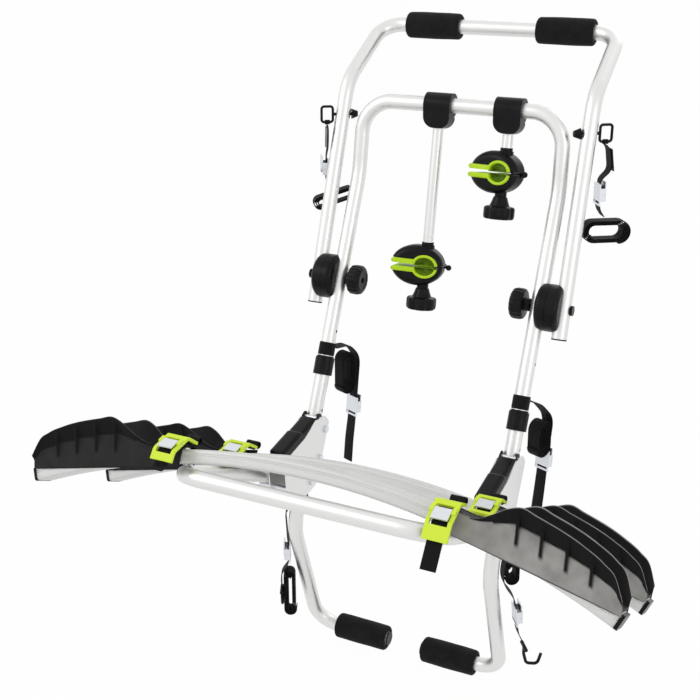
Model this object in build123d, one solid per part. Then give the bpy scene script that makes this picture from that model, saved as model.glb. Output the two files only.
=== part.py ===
from build123d import *
import math
import os

# Two-bike platform carrier that straps on to the back of a car.
# Millimetres. X is across the car, Y points from the viewer to the car, Z is up.
# The origin is the middle of the line through the two lower foam pads.

# Tubes
TUBE_OD = 28.0
TUBE_WALL = 1.8
TUBE_R = TUBE_OD / 2
PLAY = 0.3

# Main frame: an inverted U that leans towards the car, with a kink near its top
MAIN_HALF_WIDTH = 200.0
MAIN_TOP_HALF_WIDTH = MAIN_HALF_WIDTH - 2.5
MAIN_LEAN = math.radians(24.31)
MAIN_TOP_LEAN = math.radians(7.1)
MAIN_KINK_Z = 904.0
MAIN_TOP_RISE = 139.9
MAIN_TOP_Z = MAIN_KINK_Z + MAIN_TOP_RISE
MAIN_FOOT_Z = 402.0
MAIN_FOOT_Y = -32.2594
MAIN_KINK_Y = MAIN_FOOT_Y + math.tan(MAIN_LEAN) * (MAIN_KINK_Z - MAIN_FOOT_Z)
MAIN_CORNER_R = 62.0
MAIN_KINK_R = 150.0

# Lower legs: each comes down from the bracket, bends back and ends in a padded bar
LEG_TOP_Z = 398.0
LEG_BEND_Z = 265.3
LEG_BEND_R = 90.0
LEG_CORNER_R = 46.0
LEG_END_X = 38.0

# Upper frame: an inverted U hinged to the main frame, with shoulders and a padded bar
UPPER_STEP_OUT = 46.0
UPPER_HALF_WIDTH = MAIN_HALF_WIDTH + UPPER_STEP_OUT
UPPER_SHOULDER_HALF_WIDTH = UPPER_HALF_WIDTH - 3.1
UPPER_LEAN = math.radians(18.86)
UPPER_TAIL = 53.0
SHOULDER_Z = 1074.8
SHOULDER_R = 85.0
TOP_BAR_HALF_WIDTH = UPPER_HALF_WIDTH - 5.5
TOP_BAR_Y = 393.9
TOP_BAR_Z = 1168.6
TOP_BAR_CORNER_R = 46.0

# Foam pads
PAD_OD = 50.0
PAD_LENGTH = 112.0
LOWER_PAD_X = MAIN_HALF_WIDTH - 105.0
TOP_PAD_X = TOP_BAR_HALF_WIDTH - 106.5
TOP_PAD_SHIFT = 5.0

# Hinges between the two frames
HINGE_Z = 715.0
HINGE_PARTING_X = MAIN_HALF_WIDTH + 22.0
HINGE_GAP = 0.6
COVER_D = 86.0
COVER_EDGE_R = 10.0
HINGE_BOLT_D = 10.0
HINGE_BOLT_HEAD_D = 18.0
HINGE_BOLT_HEAD_T = 4.0
HINGE_THREAD = 16.0
KNOB_D = 57.0
KNOB_T = 26.0
KNOB_NECK_D = 24.0
KNOB_NECK_T = 10.0
KNOB_LOBES = 10
KNOB_GROOVE_D = 10.0

# Loose sleeves round the main tubes, and the adjusting holes in them
SLEEVE_OD = 37.0
SLEEVE_LENGTH = 34.0
SLEEVE_Z = {-1: 555.0, 1: 523.0}
RING_LENGTH = 3.0
HOLE_D = 6.0
HOLE_ZS = (477.0, 619.0)

# Fold brackets: two side plates each, round the main tube's foot and the leg's top
EAR_T = 2.0
PLATE_T = 2.2
PLATE_FILLET = 9.0
BRACKET_OUTLINE = ((-31.0, 470.0), (5.0, 466.0), (22.0, 448.0), (-10.0, 385.0), (-36.0, 335.0),
                   (-80.0, 330.0), (-150.0, 366.0), (-158.0, 438.0), (-78.0, 452.0))
REAR_BOLT = (5.0, 437.0)
LOW_BOLT = (-19.5, 386.0)
BOLT_D = 8.0
BOLT_HEAD_D = 14.0
BOLT_HEAD_T = 4.0
RIVET_D = 8.0
RIVET_ZS = (384.0, 421.0, 450.0)

# Fold levers, one in each bracket, forked round the foot of the main tube
LEVER_PIVOT_Y = -15.0
LEVER_PIVOT_Z = 466.5
LEVER_LUG_D = 20.0
LEVER_DROP = math.radians(10.0)
LEVER_ROOT = 12.0
LEVER_STEP = 66.0
LEVER_LENGTH = 142.0
LEVER_ARM_T = 17.0
LEVER_GRIP_T = 25.0
LEVER_PIN_D = 8.0
LATCH_PIN_D = 6.0
LATCH_PIN_ALONG = 34.0

# Platform: hoop, two bowed rails and four wheel trays, tilted up at the front
TILT = math.radians(25.33)
PIVOT_Z = 352.0
ARM_X = MAIN_HALF_WIDTH + 33.5
HOOP_FRONT = 424.0
HOOP_CORNER_R = 62.0
ARM_TUBE_END = 54.0
HUB_D = 34.0
HUB_SPIGOT = 30.0
PIVOT_BOLT_D = 10.0
RAIL_HALF_LENGTH = 500.0
RAIL_RISE = 104.0
RAIL_W = 44.0
RAIL_H = 24.0
RAIL_WALL = 2.0
RAIL_CORNER_R = 5.0
RAIL_SEAT = 0.1
RAIL_YS = {"front": -395.0, "rear": -186.0}
CAP_T = 6.0
RAIL_BOLT_HEAD_T = 2.5
RAIL_BOLT_GRIP = 9.0
STOP_PIN_D = 8.0
STOP_PIN_FORWARD = 82.0

# Wheel trays: moulded scoops that sit astride a rail, as (distance in from the rail's end, rim height
# over the rail, rim flare)
TRAY_T = 2.5
TRAY_BOTTOM_Z = 10.0
TRAY_BOTTOM_SLOPE = 0.21
TRAY_LIP = 1.0
TRAY_STATIONS = ((276.0, 5.7, 0.0), (234.0, 6.0, 1.0), (218.0, 9.6, 8.0), (192.0, 27.9, 20.0),
                 (170.0, 46.7, 25.0), (150.0, 58.3, 27.0), (126.0, 58.6, 27.0), (56.0, 56.7, 24.0),
                 (26.0, 51.5, 22.0), (8.0, 43.0, 19.0), (-5.0, 19.7, 14.0))
TRAY_KNEE_SHARE = 0.45
TRAY_KNEE_FLARE = 0.33
TRAY_RIBS_IN = (154.0, 117.0, 79.0, 42.0)
TRAY_RIB_W = 7.0
TRAY_RIB_OUT = 6.0

# Webbing and the wheel straps with their buckles
STRAP_T = 1.6
STRAP_W = 25.0
WHEEL_BUCKLE_IN = 264.0
WHEEL_BUCKLE_X = RAIL_HALF_LENGTH - WHEEL_BUCKLE_IN
WHEEL_BUCKLES = {("front", "right"): ((22.0, 13.0), (-4.0, 14.5), (-31.0, -14.0), (-37.0, -42.0)),
                 ("front", "left"): ((30.0, 14.0), (0.0, 21.0), (-34.0, -2.0), (-38.0, -20.0)),
                 ("rear", "right"): ((28.0, 14.0), (-2.0, 19.0), (-30.0, 0.0), (-47.0, -7.0)),
                 ("rear", "left"): ((28.0, 14.0), (-2.0, 19.0), (-30.0, 0.0), (-47.0, -7.0))}
WHEEL_BUCKLE_RADII = (8.0, 10.0)
WHEEL_TAILS = {"right": (-6.0, -34.0), "left": (-13.0, -6.0)}
REAR_WHEEL_TAIL = (-13.0, -3.0)
WHEEL_TAIL_CLEAR = 8.0
WHEEL_SLACK = ((19.0, -3.0), (32.0, 2.0), (18.0, 12.0), (14.0, 4.0))
WHEEL_SLACK_RADII = (4.0, 5.0, 5.0, 4.0)
BUCKLE_FRAME_W = 40.0
BUCKLE_FRAME_T = 5.0
BUCKLE_WINDOW_W = 28.0
BUCKLE_WINDOW_UP = 11.0
BUCKLE_WINDOW_DOWN = 26.0
CAM_PIN_D = 4.0
CAM_BARREL_D = 9.0
CAM_ARM_L = 24.0
CAM_ARM_T = 2.5
WHEEL_CAM_ARM_L = 20.0

# Frame holders: two arms that hang from the crossbar, each with a clamping head
ARM_OD = 20.0
ARM_WALL = 1.5
ARM_LEAN = math.radians(9.9)
ARM_XS = {"long": -41.0, "short": 96.0}
ARM_DROPS = {"long": 257.0, "short": 68.0}
HEAD_TURNS = {"long": 8.0, "short": -16.0}
CLIP_W = 52.0
CLIP_OD = 45.0
CLIP_MOUTH = 22.0
CLIP_SOCKET_W = 27.0
CLIP_DROP = 43.0
CLIP_CORNER_R = 20.0
HEAD_L = 103.0
HEAD_H = 78.0
HEAD_T = 46.0
HEAD_EDGE_R = 14.0
HEAD_OFFSET = -15.5
JAW_GAP = 3.0
POCKET_X = 2.0
POCKET_L = 51.0
POCKET_H = 44.0
LINER_T = 5.0
LINER_OUT = 3.0
LIP_H = 9.0
MOUTH_H = 6.0
NOSE_D = 12.0
JAW_HINGE_X = 32.5
JAW_HINGE_D = 9.0
NECK_D = 27.0
NECK_H = 6.0
ROD_D = 8.0
KNOB_X = -3.0
CLAMP_KNOB_D = 58.0
CLAMP_KNOB_H = 24.0
CLAMP_KNOB_NECK_D = 26.0
CLAMP_KNOB_NECK_H = 17.0
CLAMP_KNOB_LOBES = 7
CLAMP_KNOB_GROOVE_D = 14.0
BOSS_H = 5.0
KEEPER_D = 4.0
KEEPER_BALL_D = 11.0
KEEPER_REACH = 3.0
KEEPER_SWING = 6.5

# Tie-down straps: buckles, folded hanks and coated hooks
BUCKLE_L = 40.0
BUCKLE_W = 31.0
BUCKLE_T = 2.0
BUCKLE_CHEEK_H = 12.0
HANK_PITCH = 2.6
HOOK_D = 6.0
HOOK_BAR_D = 7.0
HOOK_LINE = ((0.0, 0.0), (0.0, -16.0), (6.0, -38.0), (28.0, -42.0), (34.0, -20.0))
HOOK_RADII = (20.0, 9.0, 8.0)
HOOK_TURNS = {"lower_right": 0.0, "lower_left": 90.0}
ANCHOR_D = 6.0
CONE_D = 20.0
CONE_TIP_D = 11.0
CONE_H = 12.0
UPPER_ANCHOR_Z = 1013.0
LOWER_ANCHOR_Z = 316.0
BUCKLE_RUN = 3
PLATE_RUN = 1
STRAP_LOOP_RISE = 31.0
RING_OD = TUBE_OD + 2 * PLAY + 2 * STRAP_T

# Upper straps: each hangs from a wire eye on the end of its anchor bolt
EYE_WIRE_D = 5.0
EYE_W = 22.0
EYE_H = 30.0
EYE_CORNER_R = 5.0
EYE_LOOP_W = 10.0
CONE_STANDOFF = 2.7
EYE_STANDOFF = 3.5
EYE_U = TUBE_R + EYE_STANDOFF + (EYE_WIRE_D + EYE_W) / 2


def line_y(z, lean, y0, z0):
    return y0 + math.tan(lean) * (z - z0)


def main_y(z):
    return line_y(z, MAIN_LEAN, MAIN_KINK_Y, MAIN_KINK_Z)


def main_top_y(z):
    return line_y(z, MAIN_TOP_LEAN, MAIN_KINK_Y, MAIN_KINK_Z)


HINGE_Y = main_y(HINGE_Z)


def upper_y(z):
    return line_y(z, UPPER_LEAN, HINGE_Y, HINGE_Z)


def upper_x(z):
    share = (z - HINGE_Z) / (SHOULDER_Z - HINGE_Z)
    return UPPER_HALF_WIDTH + share * (UPPER_SHOULDER_HALF_WIDTH - UPPER_HALF_WIDTH)


def lean_axis(lean):
    return Vector(0, math.sin(lean), math.cos(lean))


def upper_point(z):
    return Vector(upper_x(z), upper_y(z), z)


def tube(points, radii, diameter=TUBE_OD, wall=TUBE_WALL):
    """A round tube along straight runs joined by arcs; a wall of 0 makes it solid."""
    if len(points) == 2:
        path = Line(*points)
    else:
        path = FilletPolyline(*points, radius=radii)
    face = Circle(diameter / 2)
    if wall:
        face = face - Circle(diameter / 2 - wall)
    return sweep(Plane(origin=path @ 0, z_dir=path % 0) * face, path=path)


def rod(start, end, diameter):
    axis = Vector(*end) - Vector(*start)
    plane = Plane(origin=start, z_dir=axis)
    return plane * Cylinder(diameter / 2, axis.length, align=(Align.CENTER, Align.CENTER, Align.MIN))


def x_disc(x0, x1, y, z, diameter):
    """A disc or pin whose axis runs along X."""
    return rod((x0, y, z), (x1, y, z), diameter)


def side_plate(outline, x0, x1):
    """A plate whose outline is given as (y, z) points, from x0 to x1."""
    face = Plane.YZ * make_face(Polyline(*outline, close=True))
    return extrude(Pos(min(x0, x1), 0, 0) * face, amount=abs(x1 - x0), dir=(1, 0, 0))


def solids_of(*shapes):
    found = []
    for shape in shapes:
        found.extend(shape.solids())
    return found


def both_sides(shape):
    return solids_of(shape, mirror(shape, about=Plane.YZ))


def save(name, *shapes):
    solids = []
    for shape in shapes:
        solids.extend(shape if isinstance(shape, list) else shape.solids())
    part = Compound(children=solids) if len(solids) > 1 else solids[0]
    part.label = name
    export_step(part, f"parts/{name}.step")


# Platform coordinates: origin on the pivot, Y along the hoop's arms towards the car
PIVOT_Y = main_y(PIVOT_Z)
PLATFORM = Plane(origin=(0, PIVOT_Y, PIVOT_Z), x_dir=(1, 0, 0),
                 z_dir=(0, math.sin(TILT), math.cos(TILT)))
RAIL_R = (RAIL_HALF_LENGTH ** 2 + RAIL_RISE ** 2) / (2 * RAIL_RISE)
SEAT_R = RAIL_R - RAIL_H / 2 - RAIL_SEAT - TUBE_R
RAIL_TOP_Z = RAIL_R - math.sqrt(SEAT_R ** 2 - ARM_X ** 2)


def arc_drop(x):
    return RAIL_R - math.sqrt(RAIL_R ** 2 - x ** 2)


def rail_z(x):
    """Height of the rail's centreline above the hoop's arms."""
    return RAIL_TOP_Z - arc_drop(x)


def make_rivet_holes():
    """Cross holes through both sides' tubes for the rivets that the brackets are fixed with."""
    reach = MAIN_HALF_WIDTH + TUBE_OD
    holes = [x_disc(-reach, reach, main_y(z), z, RIVET_D + 2 * PLAY) for z in RIVET_ZS]
    return holes[0] + holes[1] + holes[2]


def make_main_frame():
    top_y = main_top_y(MAIN_TOP_Z)
    side = [(MAIN_HALF_WIDTH, main_y(MAIN_FOOT_Z), MAIN_FOOT_Z),
            (MAIN_HALF_WIDTH, MAIN_KINK_Y, MAIN_KINK_Z),
            (MAIN_TOP_HALF_WIDTH, top_y, MAIN_TOP_Z)]
    other = [(-x, y, z) for x, y, z in reversed(side)]
    radii = [MAIN_KINK_R, MAIN_CORNER_R, MAIN_CORNER_R, MAIN_KINK_R]
    frame = tube(side + other, radii)
    for z in HOLE_ZS:
        hole = x_disc(MAIN_HALF_WIDTH - TUBE_OD, MAIN_HALF_WIDTH + TUBE_OD, main_y(z), z, HOLE_D)
        frame = frame - hole - mirror(hole, about=Plane.YZ)
    bolt_hole = x_disc(-MAIN_HALF_WIDTH - TUBE_OD, MAIN_HALF_WIDTH + TUBE_OD, HINGE_Y, HINGE_Z,
                       HINGE_BOLT_D + 2 * PLAY)
    far = MAIN_HALF_WIDTH + TUBE_OD
    lever_hole = x_disc(-far, far, LEVER_PIVOT_Y, LEVER_PIVOT_Z, LEVER_PIN_D + 2 * PLAY)
    return frame - bolt_hole - lever_hole - make_rivet_holes()


def make_leg():
    bend_y = main_y(LEG_BEND_Z)
    points = [(LEG_END_X, 0, 0), (MAIN_HALF_WIDTH, 0, 0),
              (MAIN_HALF_WIDTH, bend_y, LEG_BEND_Z),
              (MAIN_HALF_WIDTH, main_y(LEG_TOP_Z), LEG_TOP_Z)]
    leg = tube(points, [LEG_CORNER_R, LEG_BEND_R])
    reach = (MAIN_HALF_WIDTH - TUBE_OD, MAIN_HALF_WIDTH + TUBE_OD)
    pivot_hole = x_disc(*reach, PIVOT_Y, PIVOT_Z, PIVOT_BOLT_D + 2 * PLAY)
    anchor_hole = x_disc(*reach, main_y(LOWER_ANCHOR_Z), LOWER_ANCHOR_Z, ANCHOR_D + 2 * PLAY)
    return leg - pivot_hole - anchor_hole - make_rivet_holes()


def make_upper_frame():
    tail_z = HINGE_Z - UPPER_TAIL * math.cos(UPPER_LEAN)
    side = [(upper_x(tail_z), upper_y(tail_z), tail_z),
            (upper_x(SHOULDER_Z), upper_y(SHOULDER_Z), SHOULDER_Z),
            (TOP_BAR_HALF_WIDTH, TOP_BAR_Y, TOP_BAR_Z)]
    other = [(-x, y, z) for x, y, z in reversed(side)]
    radii = [SHOULDER_R, TOP_BAR_CORNER_R, TOP_BAR_CORNER_R, SHOULDER_R]
    frame = tube(side + other, radii)
    far = UPPER_HALF_WIDTH + TUBE_OD
    frame = frame - x_disc(-far, far, HINGE_Y, HINGE_Z, HINGE_BOLT_D + 2 * PLAY)
    for name in ("upper_right", "upper_left"):
        reach = strap_plane(name).x_dir * TUBE_OD
        centre = STRAPS[name][0]
        frame = frame - rod(centre - reach, centre + reach, ANCHOR_D + 2 * PLAY)
    return frame


def foam_pad(x, y, z):
    return (rod((x - PAD_LENGTH / 2, y, z), (x + PAD_LENGTH / 2, y, z), PAD_OD)
            - rod((x - PAD_LENGTH, y, z), (x + PAD_LENGTH, y, z), TUBE_OD))


def tube_plug(point, axis, rim=2.5, depth=14.0):
    """A moulded end plug: a thin rim on the tube's end and a spigot inside it."""
    plane = Plane(origin=point, z_dir=axis)
    head = Cylinder(TUBE_R, rim, align=(Align.CENTER, Align.CENTER, Align.MIN))
    spigot = Cylinder(TUBE_R - TUBE_WALL, depth, align=(Align.CENTER, Align.CENTER, Align.MAX))
    return plane * (head + spigot)


def hinge_cover(x_parting, tube_point, tube_axis):
    """One half of the round hinge housing, moulded round the side of its tube."""
    outward = 1 if tube_point.X > x_parting else -1
    x_back = tube_point.X - outward
    body = x_disc(min(x_parting, x_back), max(x_parting, x_back), HINGE_Y, HINGE_Z, COVER_D)
    rims = body.edges().filter_by(GeomType.CIRCLE).sort_by(Axis.X)
    rim = rims[-1] if outward > 0 else rims[0]
    body = fillet(rim, min(COVER_EDGE_R, abs(x_back - x_parting) - 2))
    reach = tube_axis * COVER_D
    bore = x_disc(0, 2 * x_parting, HINGE_Y, HINGE_Z, HINGE_BOLT_D + 2 * PLAY)
    return body - rod(tube_point - reach, tube_point + reach, TUBE_OD) - bore


def scalloped_disc(diameter, height, lobes, groove_d):
    disc = Cylinder(diameter / 2, height, align=(Align.CENTER, Align.CENTER, Align.MIN))
    groove = Cylinder(groove_d / 2, height * 2)
    ring = diameter / 2 + groove_d * 0.32
    for place in PolarLocations(ring, lobes):
        disc = disc - place * groove
    return disc


def make_hinge_knob():
    """The right-hand knob: it clamps from the inner side of the main tube."""
    seat_x = MAIN_HALF_WIDTH - TUBE_R - PLAY
    plane = Plane(origin=(seat_x, HINGE_Y, HINGE_Z), x_dir=(0, 1, 0), z_dir=(-1, 0, 0))
    neck = Cylinder(KNOB_NECK_D / 2, KNOB_NECK_T, align=(Align.CENTER, Align.CENTER, Align.MIN))
    grip = Pos(0, 0, KNOB_NECK_T) * scalloped_disc(KNOB_D, KNOB_T, KNOB_LOBES, KNOB_GROOVE_D)
    bore = Cylinder(HINGE_BOLT_D / 2 + PLAY, 2 * (HINGE_THREAD + PLAY))
    return plane * (neck + grip - bore)


def make_hinge_bolt():
    """The right-hand bolt: its head is on the outer tube and its thread ends inside the knob."""
    outer = UPPER_HALF_WIDTH + TUBE_R + PLAY
    inner = MAIN_HALF_WIDTH - TUBE_R - HINGE_THREAD
    shank = x_disc(inner, outer, HINGE_Y, HINGE_Z, HINGE_BOLT_D)
    head = x_disc(outer, outer + HINGE_BOLT_HEAD_T, HINGE_Y, HINGE_Z, HINGE_BOLT_HEAD_D)
    return shank + head


def make_sleeve(side):
    z = SLEEVE_Z[side]
    centre = Vector(side * MAIN_HALF_WIDTH, main_y(z), z)
    axis = lean_axis(MAIN_LEAN)
    half = SLEEVE_LENGTH / 2
    top = centre + axis * half
    sleeve = rod(centre - axis * half, top, SLEEVE_OD)
    ring = rod(top, top + axis * RING_LENGTH, SLEEVE_OD - 4)
    bore = rod(centre - axis * SLEEVE_LENGTH, centre + axis * SLEEVE_LENGTH, TUBE_OD)
    return (sleeve + ring) - bore


# Brackets and levers
PLATE_IN = TUBE_R + 2 * PLAY + EAR_T
PLATE_OUT = PLATE_IN + PLATE_T


def stop_pin_yz():
    """Just under the hoop's arm, in the bracket's front corner."""
    local_z = -(TUBE_R + STOP_PIN_D / 2)
    spot = PLATFORM.from_local_coords(Vector(0, -STOP_PIN_FORWARD, local_z))
    return spot.Y, spot.Z


def latch_pin_yz():
    """Under the lever's arm, where the lever rests on it."""
    down = LEVER_DROP
    y = LEVER_PIVOT_Y - LATCH_PIN_ALONG * math.cos(down) + LEVER_ARM_T / 2 * math.sin(down)
    z = LEVER_PIVOT_Z - LATCH_PIN_ALONG * math.sin(down) - LEVER_ARM_T / 2 * math.cos(down)
    return y, z


def make_bracket():
    """The right-hand bracket's inner and outer plates."""
    plate = side_plate(BRACKET_OUTLINE, PLATE_IN, PLATE_OUT)
    plate = fillet(plate.edges().filter_by(Axis.X), PLATE_FILLET)
    holes = [(PIVOT_Y, PIVOT_Z, PIVOT_BOLT_D), (*REAR_BOLT, BOLT_D), (*LOW_BOLT, BOLT_D),
             (LEVER_PIVOT_Y, LEVER_PIVOT_Z, LEVER_PIN_D), (*stop_pin_yz(), STOP_PIN_D),
             (*latch_pin_yz(), LATCH_PIN_D)]
    holes += [(main_y(z), z, RIVET_D) for z in RIVET_ZS]
    for y, z, diameter in holes:
        plate = plate - x_disc(0, 2 * PLATE_OUT, y, z, diameter)
    outer = Pos(MAIN_HALF_WIDTH, 0, 0) * plate
    inner = Pos(MAIN_HALF_WIDTH - PLATE_IN - PLATE_OUT, 0, 0) * plate
    return solids_of(outer, inner)


def make_bracket_bolts():
    x0 = MAIN_HALF_WIDTH - PLATE_OUT
    x1 = MAIN_HALF_WIDTH + PLATE_OUT
    bolts = []
    for y, z in (REAR_BOLT, LOW_BOLT):
        head = x_disc(x0 - BOLT_HEAD_T, x0, y, z, BOLT_HEAD_D)
        bolts.append(x_disc(x0, x1, y, z, BOLT_D) + head)
    bolts += [x_disc(x0, x1, main_y(z), z, RIVET_D) for z in RIVET_ZS]
    bolts.append(x_disc(x0, ARM_X + TUBE_R, *stop_pin_yz(), STOP_PIN_D))
    bolts.append(x_disc(x0, x1, *latch_pin_yz(), LATCH_PIN_D))
    bolts.append(x_disc(x0, x1, LEVER_PIVOT_Y, LEVER_PIVOT_Z, LEVER_PIN_D))
    return bolts


def make_lever():
    """The right-hand lever, drawn with Y along it from its pivot and Z square to it."""
    width = 2 * (TUBE_R + PLAY + EAR_T)
    start = Plane.YZ * Circle(LEVER_LUG_D / 2)
    ear = extrude(start, width / 2, both=True)
    arm = Pos(0, LEVER_STEP / 2, 0) * Box(width, LEVER_STEP, LEVER_ARM_T)
    grip_length = LEVER_LENGTH - LEVER_STEP
    grip = Pos(0, LEVER_STEP + grip_length / 2, 0) * Box(width, grip_length, LEVER_GRIP_T)
    grip = fillet(grip.edges().filter_by(Axis.Y), LEVER_GRIP_T / 4)
    fork = Pos(0, LEVER_ROOT / 2 - LEVER_LUG_D / 2, 0) * Box(
        2 * (TUBE_R + PLAY), LEVER_ROOT + LEVER_LUG_D, 2 * LEVER_LUG_D)
    pin_hole = Cylinder(LEVER_PIN_D / 2 + PLAY, 2 * width, rotation=(0, 90, 0))
    seat = Pos(0, LATCH_PIN_ALONG, LEVER_ARM_T / 2) * Cylinder(
        LATCH_PIN_D / 2 + PLAY, 2 * width, rotation=(0, 90, 0))
    lever = ear + arm + grip - fork - pin_hole - seat
    down = Vector(0, math.sin(LEVER_DROP), -math.cos(LEVER_DROP))
    place = Plane(origin=(MAIN_HALF_WIDTH, LEVER_PIVOT_Y, LEVER_PIVOT_Z), x_dir=(1, 0, 0), z_dir=down)
    return place * lever


# Platform pieces, drawn in platform coordinates
def make_hoop():
    points = [(ARM_X, -ARM_TUBE_END, 0), (ARM_X, -HOOP_FRONT, 0),
              (-ARM_X, -HOOP_FRONT, 0), (-ARM_X, -ARM_TUBE_END, 0)]
    hoop = tube(points, [HOOP_CORNER_R, HOOP_CORNER_R])
    for rail_y in RAIL_YS.values():
        hole = rail_bolt_plane(rail_y) * rod((0, 0, 0), (0, 0, TUBE_OD), BOLT_D + 2 * PLAY)
        hoop = hoop - hole - mirror(hole, about=Plane.YZ)
    return hoop


def rail_bolt_x(rail_y):
    """Where the hoop's centreline passes under a rail: on the straight arm or in the corner."""
    past = max(0.0, -rail_y - (HOOP_FRONT - HOOP_CORNER_R))
    return ARM_X - HOOP_CORNER_R + math.sqrt(HOOP_CORNER_R ** 2 - past ** 2)


def rail_bolt_plane(rail_y):
    """Right-hand bolt axis: from the hoop's centreline, square to the rail."""
    x = rail_bolt_x(rail_y)
    return Plane(origin=(x, rail_y, 0), x_dir=(0, 1, 0), z_dir=(x, 0, RAIL_R - RAIL_TOP_Z))


def make_hub():
    """Right-hand moulded hub: its spigot fills the arm's end and its boss turns on the pivot."""
    inner = MAIN_HALF_WIDTH + PLATE_OUT + PLAY
    width = ARM_X + TUBE_R - inner
    centre_x = inner + width / 2
    boss = Pos(centre_x, 0, 0) * Cylinder(HUB_D / 2, width, rotation=(0, 90, 0))
    neck = Pos(centre_x, -ARM_TUBE_END / 2, 0) * Box(width, ARM_TUBE_END, TUBE_OD)
    neck = fillet(neck.edges().filter_by(Axis.Y), TUBE_R / 2)
    spigot = rod((ARM_X, -ARM_TUBE_END, 0), (ARM_X, -ARM_TUBE_END - HUB_SPIGOT, 0),
                 TUBE_OD - 2 * TUBE_WALL)
    bore = Cylinder(PIVOT_BOLT_D / 2 + PLAY / 2, ARM_X * 4, rotation=(0, 90, 0))
    return boss + neck + spigot - bore


def make_pivot_bolt():
    """Held in the bracket's plates; the platform's hub turns on its outer end."""
    x0 = MAIN_HALF_WIDTH - PLATE_OUT
    x1 = ARM_X + TUBE_R + PLAY
    bolt = x_disc(x0, x1, PIVOT_Y, PIVOT_Z, PIVOT_BOLT_D)
    bolt = bolt + x_disc(x1, x1 + BOLT_HEAD_T, PIVOT_Y, PIVOT_Z, HUB_D * 0.6)
    return bolt + x_disc(x0 - BOLT_HEAD_T, x0, PIVOT_Y, PIVOT_Z, HUB_D * 0.5)


def arc_point(x, offset):
    """A point on the rail's arc, moved square to it by the offset."""
    angle = math.asin(x / RAIL_R)
    radius = RAIL_R + offset
    return radius * math.sin(angle), RAIL_TOP_Z - RAIL_R + radius * math.cos(angle)


def arc_bar(x_end, rail_y, width, height, corner):
    """A bar of rectangular section bowed along the rail's arc."""
    right_x, right_z = arc_point(x_end, 0)
    path = ThreePointArc((-right_x, rail_y, right_z), (0, rail_y, RAIL_TOP_Z), (right_x, rail_y, right_z))
    face = RectangleRounded(width, height, corner)
    return sweep(Plane(origin=path @ 0, x_dir=(0, 1, 0), z_dir=path % 0) * face, path=path)


def make_rail(rail_y):
    outer = arc_bar(RAIL_HALF_LENGTH, rail_y, RAIL_W, RAIL_H, RAIL_CORNER_R)
    inner = arc_bar(RAIL_HALF_LENGTH, rail_y, RAIL_W - 2 * RAIL_WALL, RAIL_H - 2 * RAIL_WALL,
                    RAIL_CORNER_R - RAIL_WALL)
    hole = rail_bolt_plane(rail_y) * Cylinder(BOLT_D / 2 + PLAY, RAIL_H * 8)
    return outer - inner - hole - mirror(hole, about=Plane.YZ)


def make_end_cap(rail_y):
    """Right-hand cap: a plate over the rail's end and a plug inside it."""
    end_x, end_z = arc_point(RAIL_HALF_LENGTH, 0)
    slope = math.asin(RAIL_HALF_LENGTH / RAIL_R)
    plane = Plane(origin=(end_x, rail_y, end_z), x_dir=(0, 1, 0),
                  z_dir=(math.cos(slope), 0, -math.sin(slope)))
    plate = extrude(RectangleRounded(RAIL_W, RAIL_H, RAIL_CORNER_R), CAP_T)
    gap = RAIL_WALL + PLAY / 2
    section = RectangleRounded(RAIL_W - 2 * gap, RAIL_H - 2 * gap, RAIL_CORNER_R - RAIL_WALL)
    plug = extrude(section, -2 * CAP_T)
    return plane * (plate + plug)


def make_rail_bolt(rail_y):
    """Right-hand bolt down through the rail into the hoop's upper wall, where its thread ends."""
    x = rail_bolt_x(rail_y)
    top = RAIL_R + RAIL_H / 2 - math.hypot(x, RAIL_R - RAIL_TOP_Z)
    shank = rod((0, 0, TUBE_R - RAIL_BOLT_GRIP), (0, 0, top), BOLT_D)
    head = rod((0, 0, top), (0, 0, top + RAIL_BOLT_HEAD_T), BOLT_HEAD_D)
    return rail_bolt_plane(rail_y) * (shank + head)


def tray_section(inwards, rim, flare):
    """The tray's H-shaped cross-section at one place along the rail."""
    x = RAIL_HALF_LENGTH - inwards
    foot_in = RAIL_W / 2 + PLAY
    foot_out = foot_in + TRAY_T
    bottom = TRAY_BOTTOM_Z - TRAY_BOTTOM_SLOPE * (TRAY_STATIONS[0][0] - inwards)
    under = rail_z(x) + RAIL_H / 2 + RAIL_BOLT_HEAD_T + 3 * PLAY
    floor = under + TRAY_T
    rim_z = max(rail_z(x) + RAIL_H / 2 + rim, floor + TRAY_LIP)
    knee_z = floor + TRAY_KNEE_SHARE * (rim_z - floor)
    knee_y = foot_out + TRAY_KNEE_FLARE * flare
    rim_y = foot_out + flare
    half = [(foot_in, under), (foot_in, bottom), (foot_out, bottom), (knee_y, knee_z), (rim_y, rim_z),
            (rim_y - TRAY_T, rim_z), (knee_y - TRAY_T, knee_z), (foot_out - TRAY_T, floor)]
    points = half + [(-y, z) for y, z in reversed(half)]
    return Plane(origin=(x, 0, 0), x_dir=(0, 1, 0), z_dir=(1, 0, 0)) * make_face(
        Polyline(*points, close=True))


def tray_rim(inwards):
    """Rim height over the rail and flare between two stations."""
    for (in0, rim0, flare0), (in1, rim1, flare1) in zip(TRAY_STATIONS, TRAY_STATIONS[1:]):
        if inwards >= in1:
            share = (in0 - inwards) / (in0 - in1)
            return rim0 + share * (rim1 - rim0), flare0 + share * (flare1 - flare0)
    return TRAY_STATIONS[-1][1:]


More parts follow.
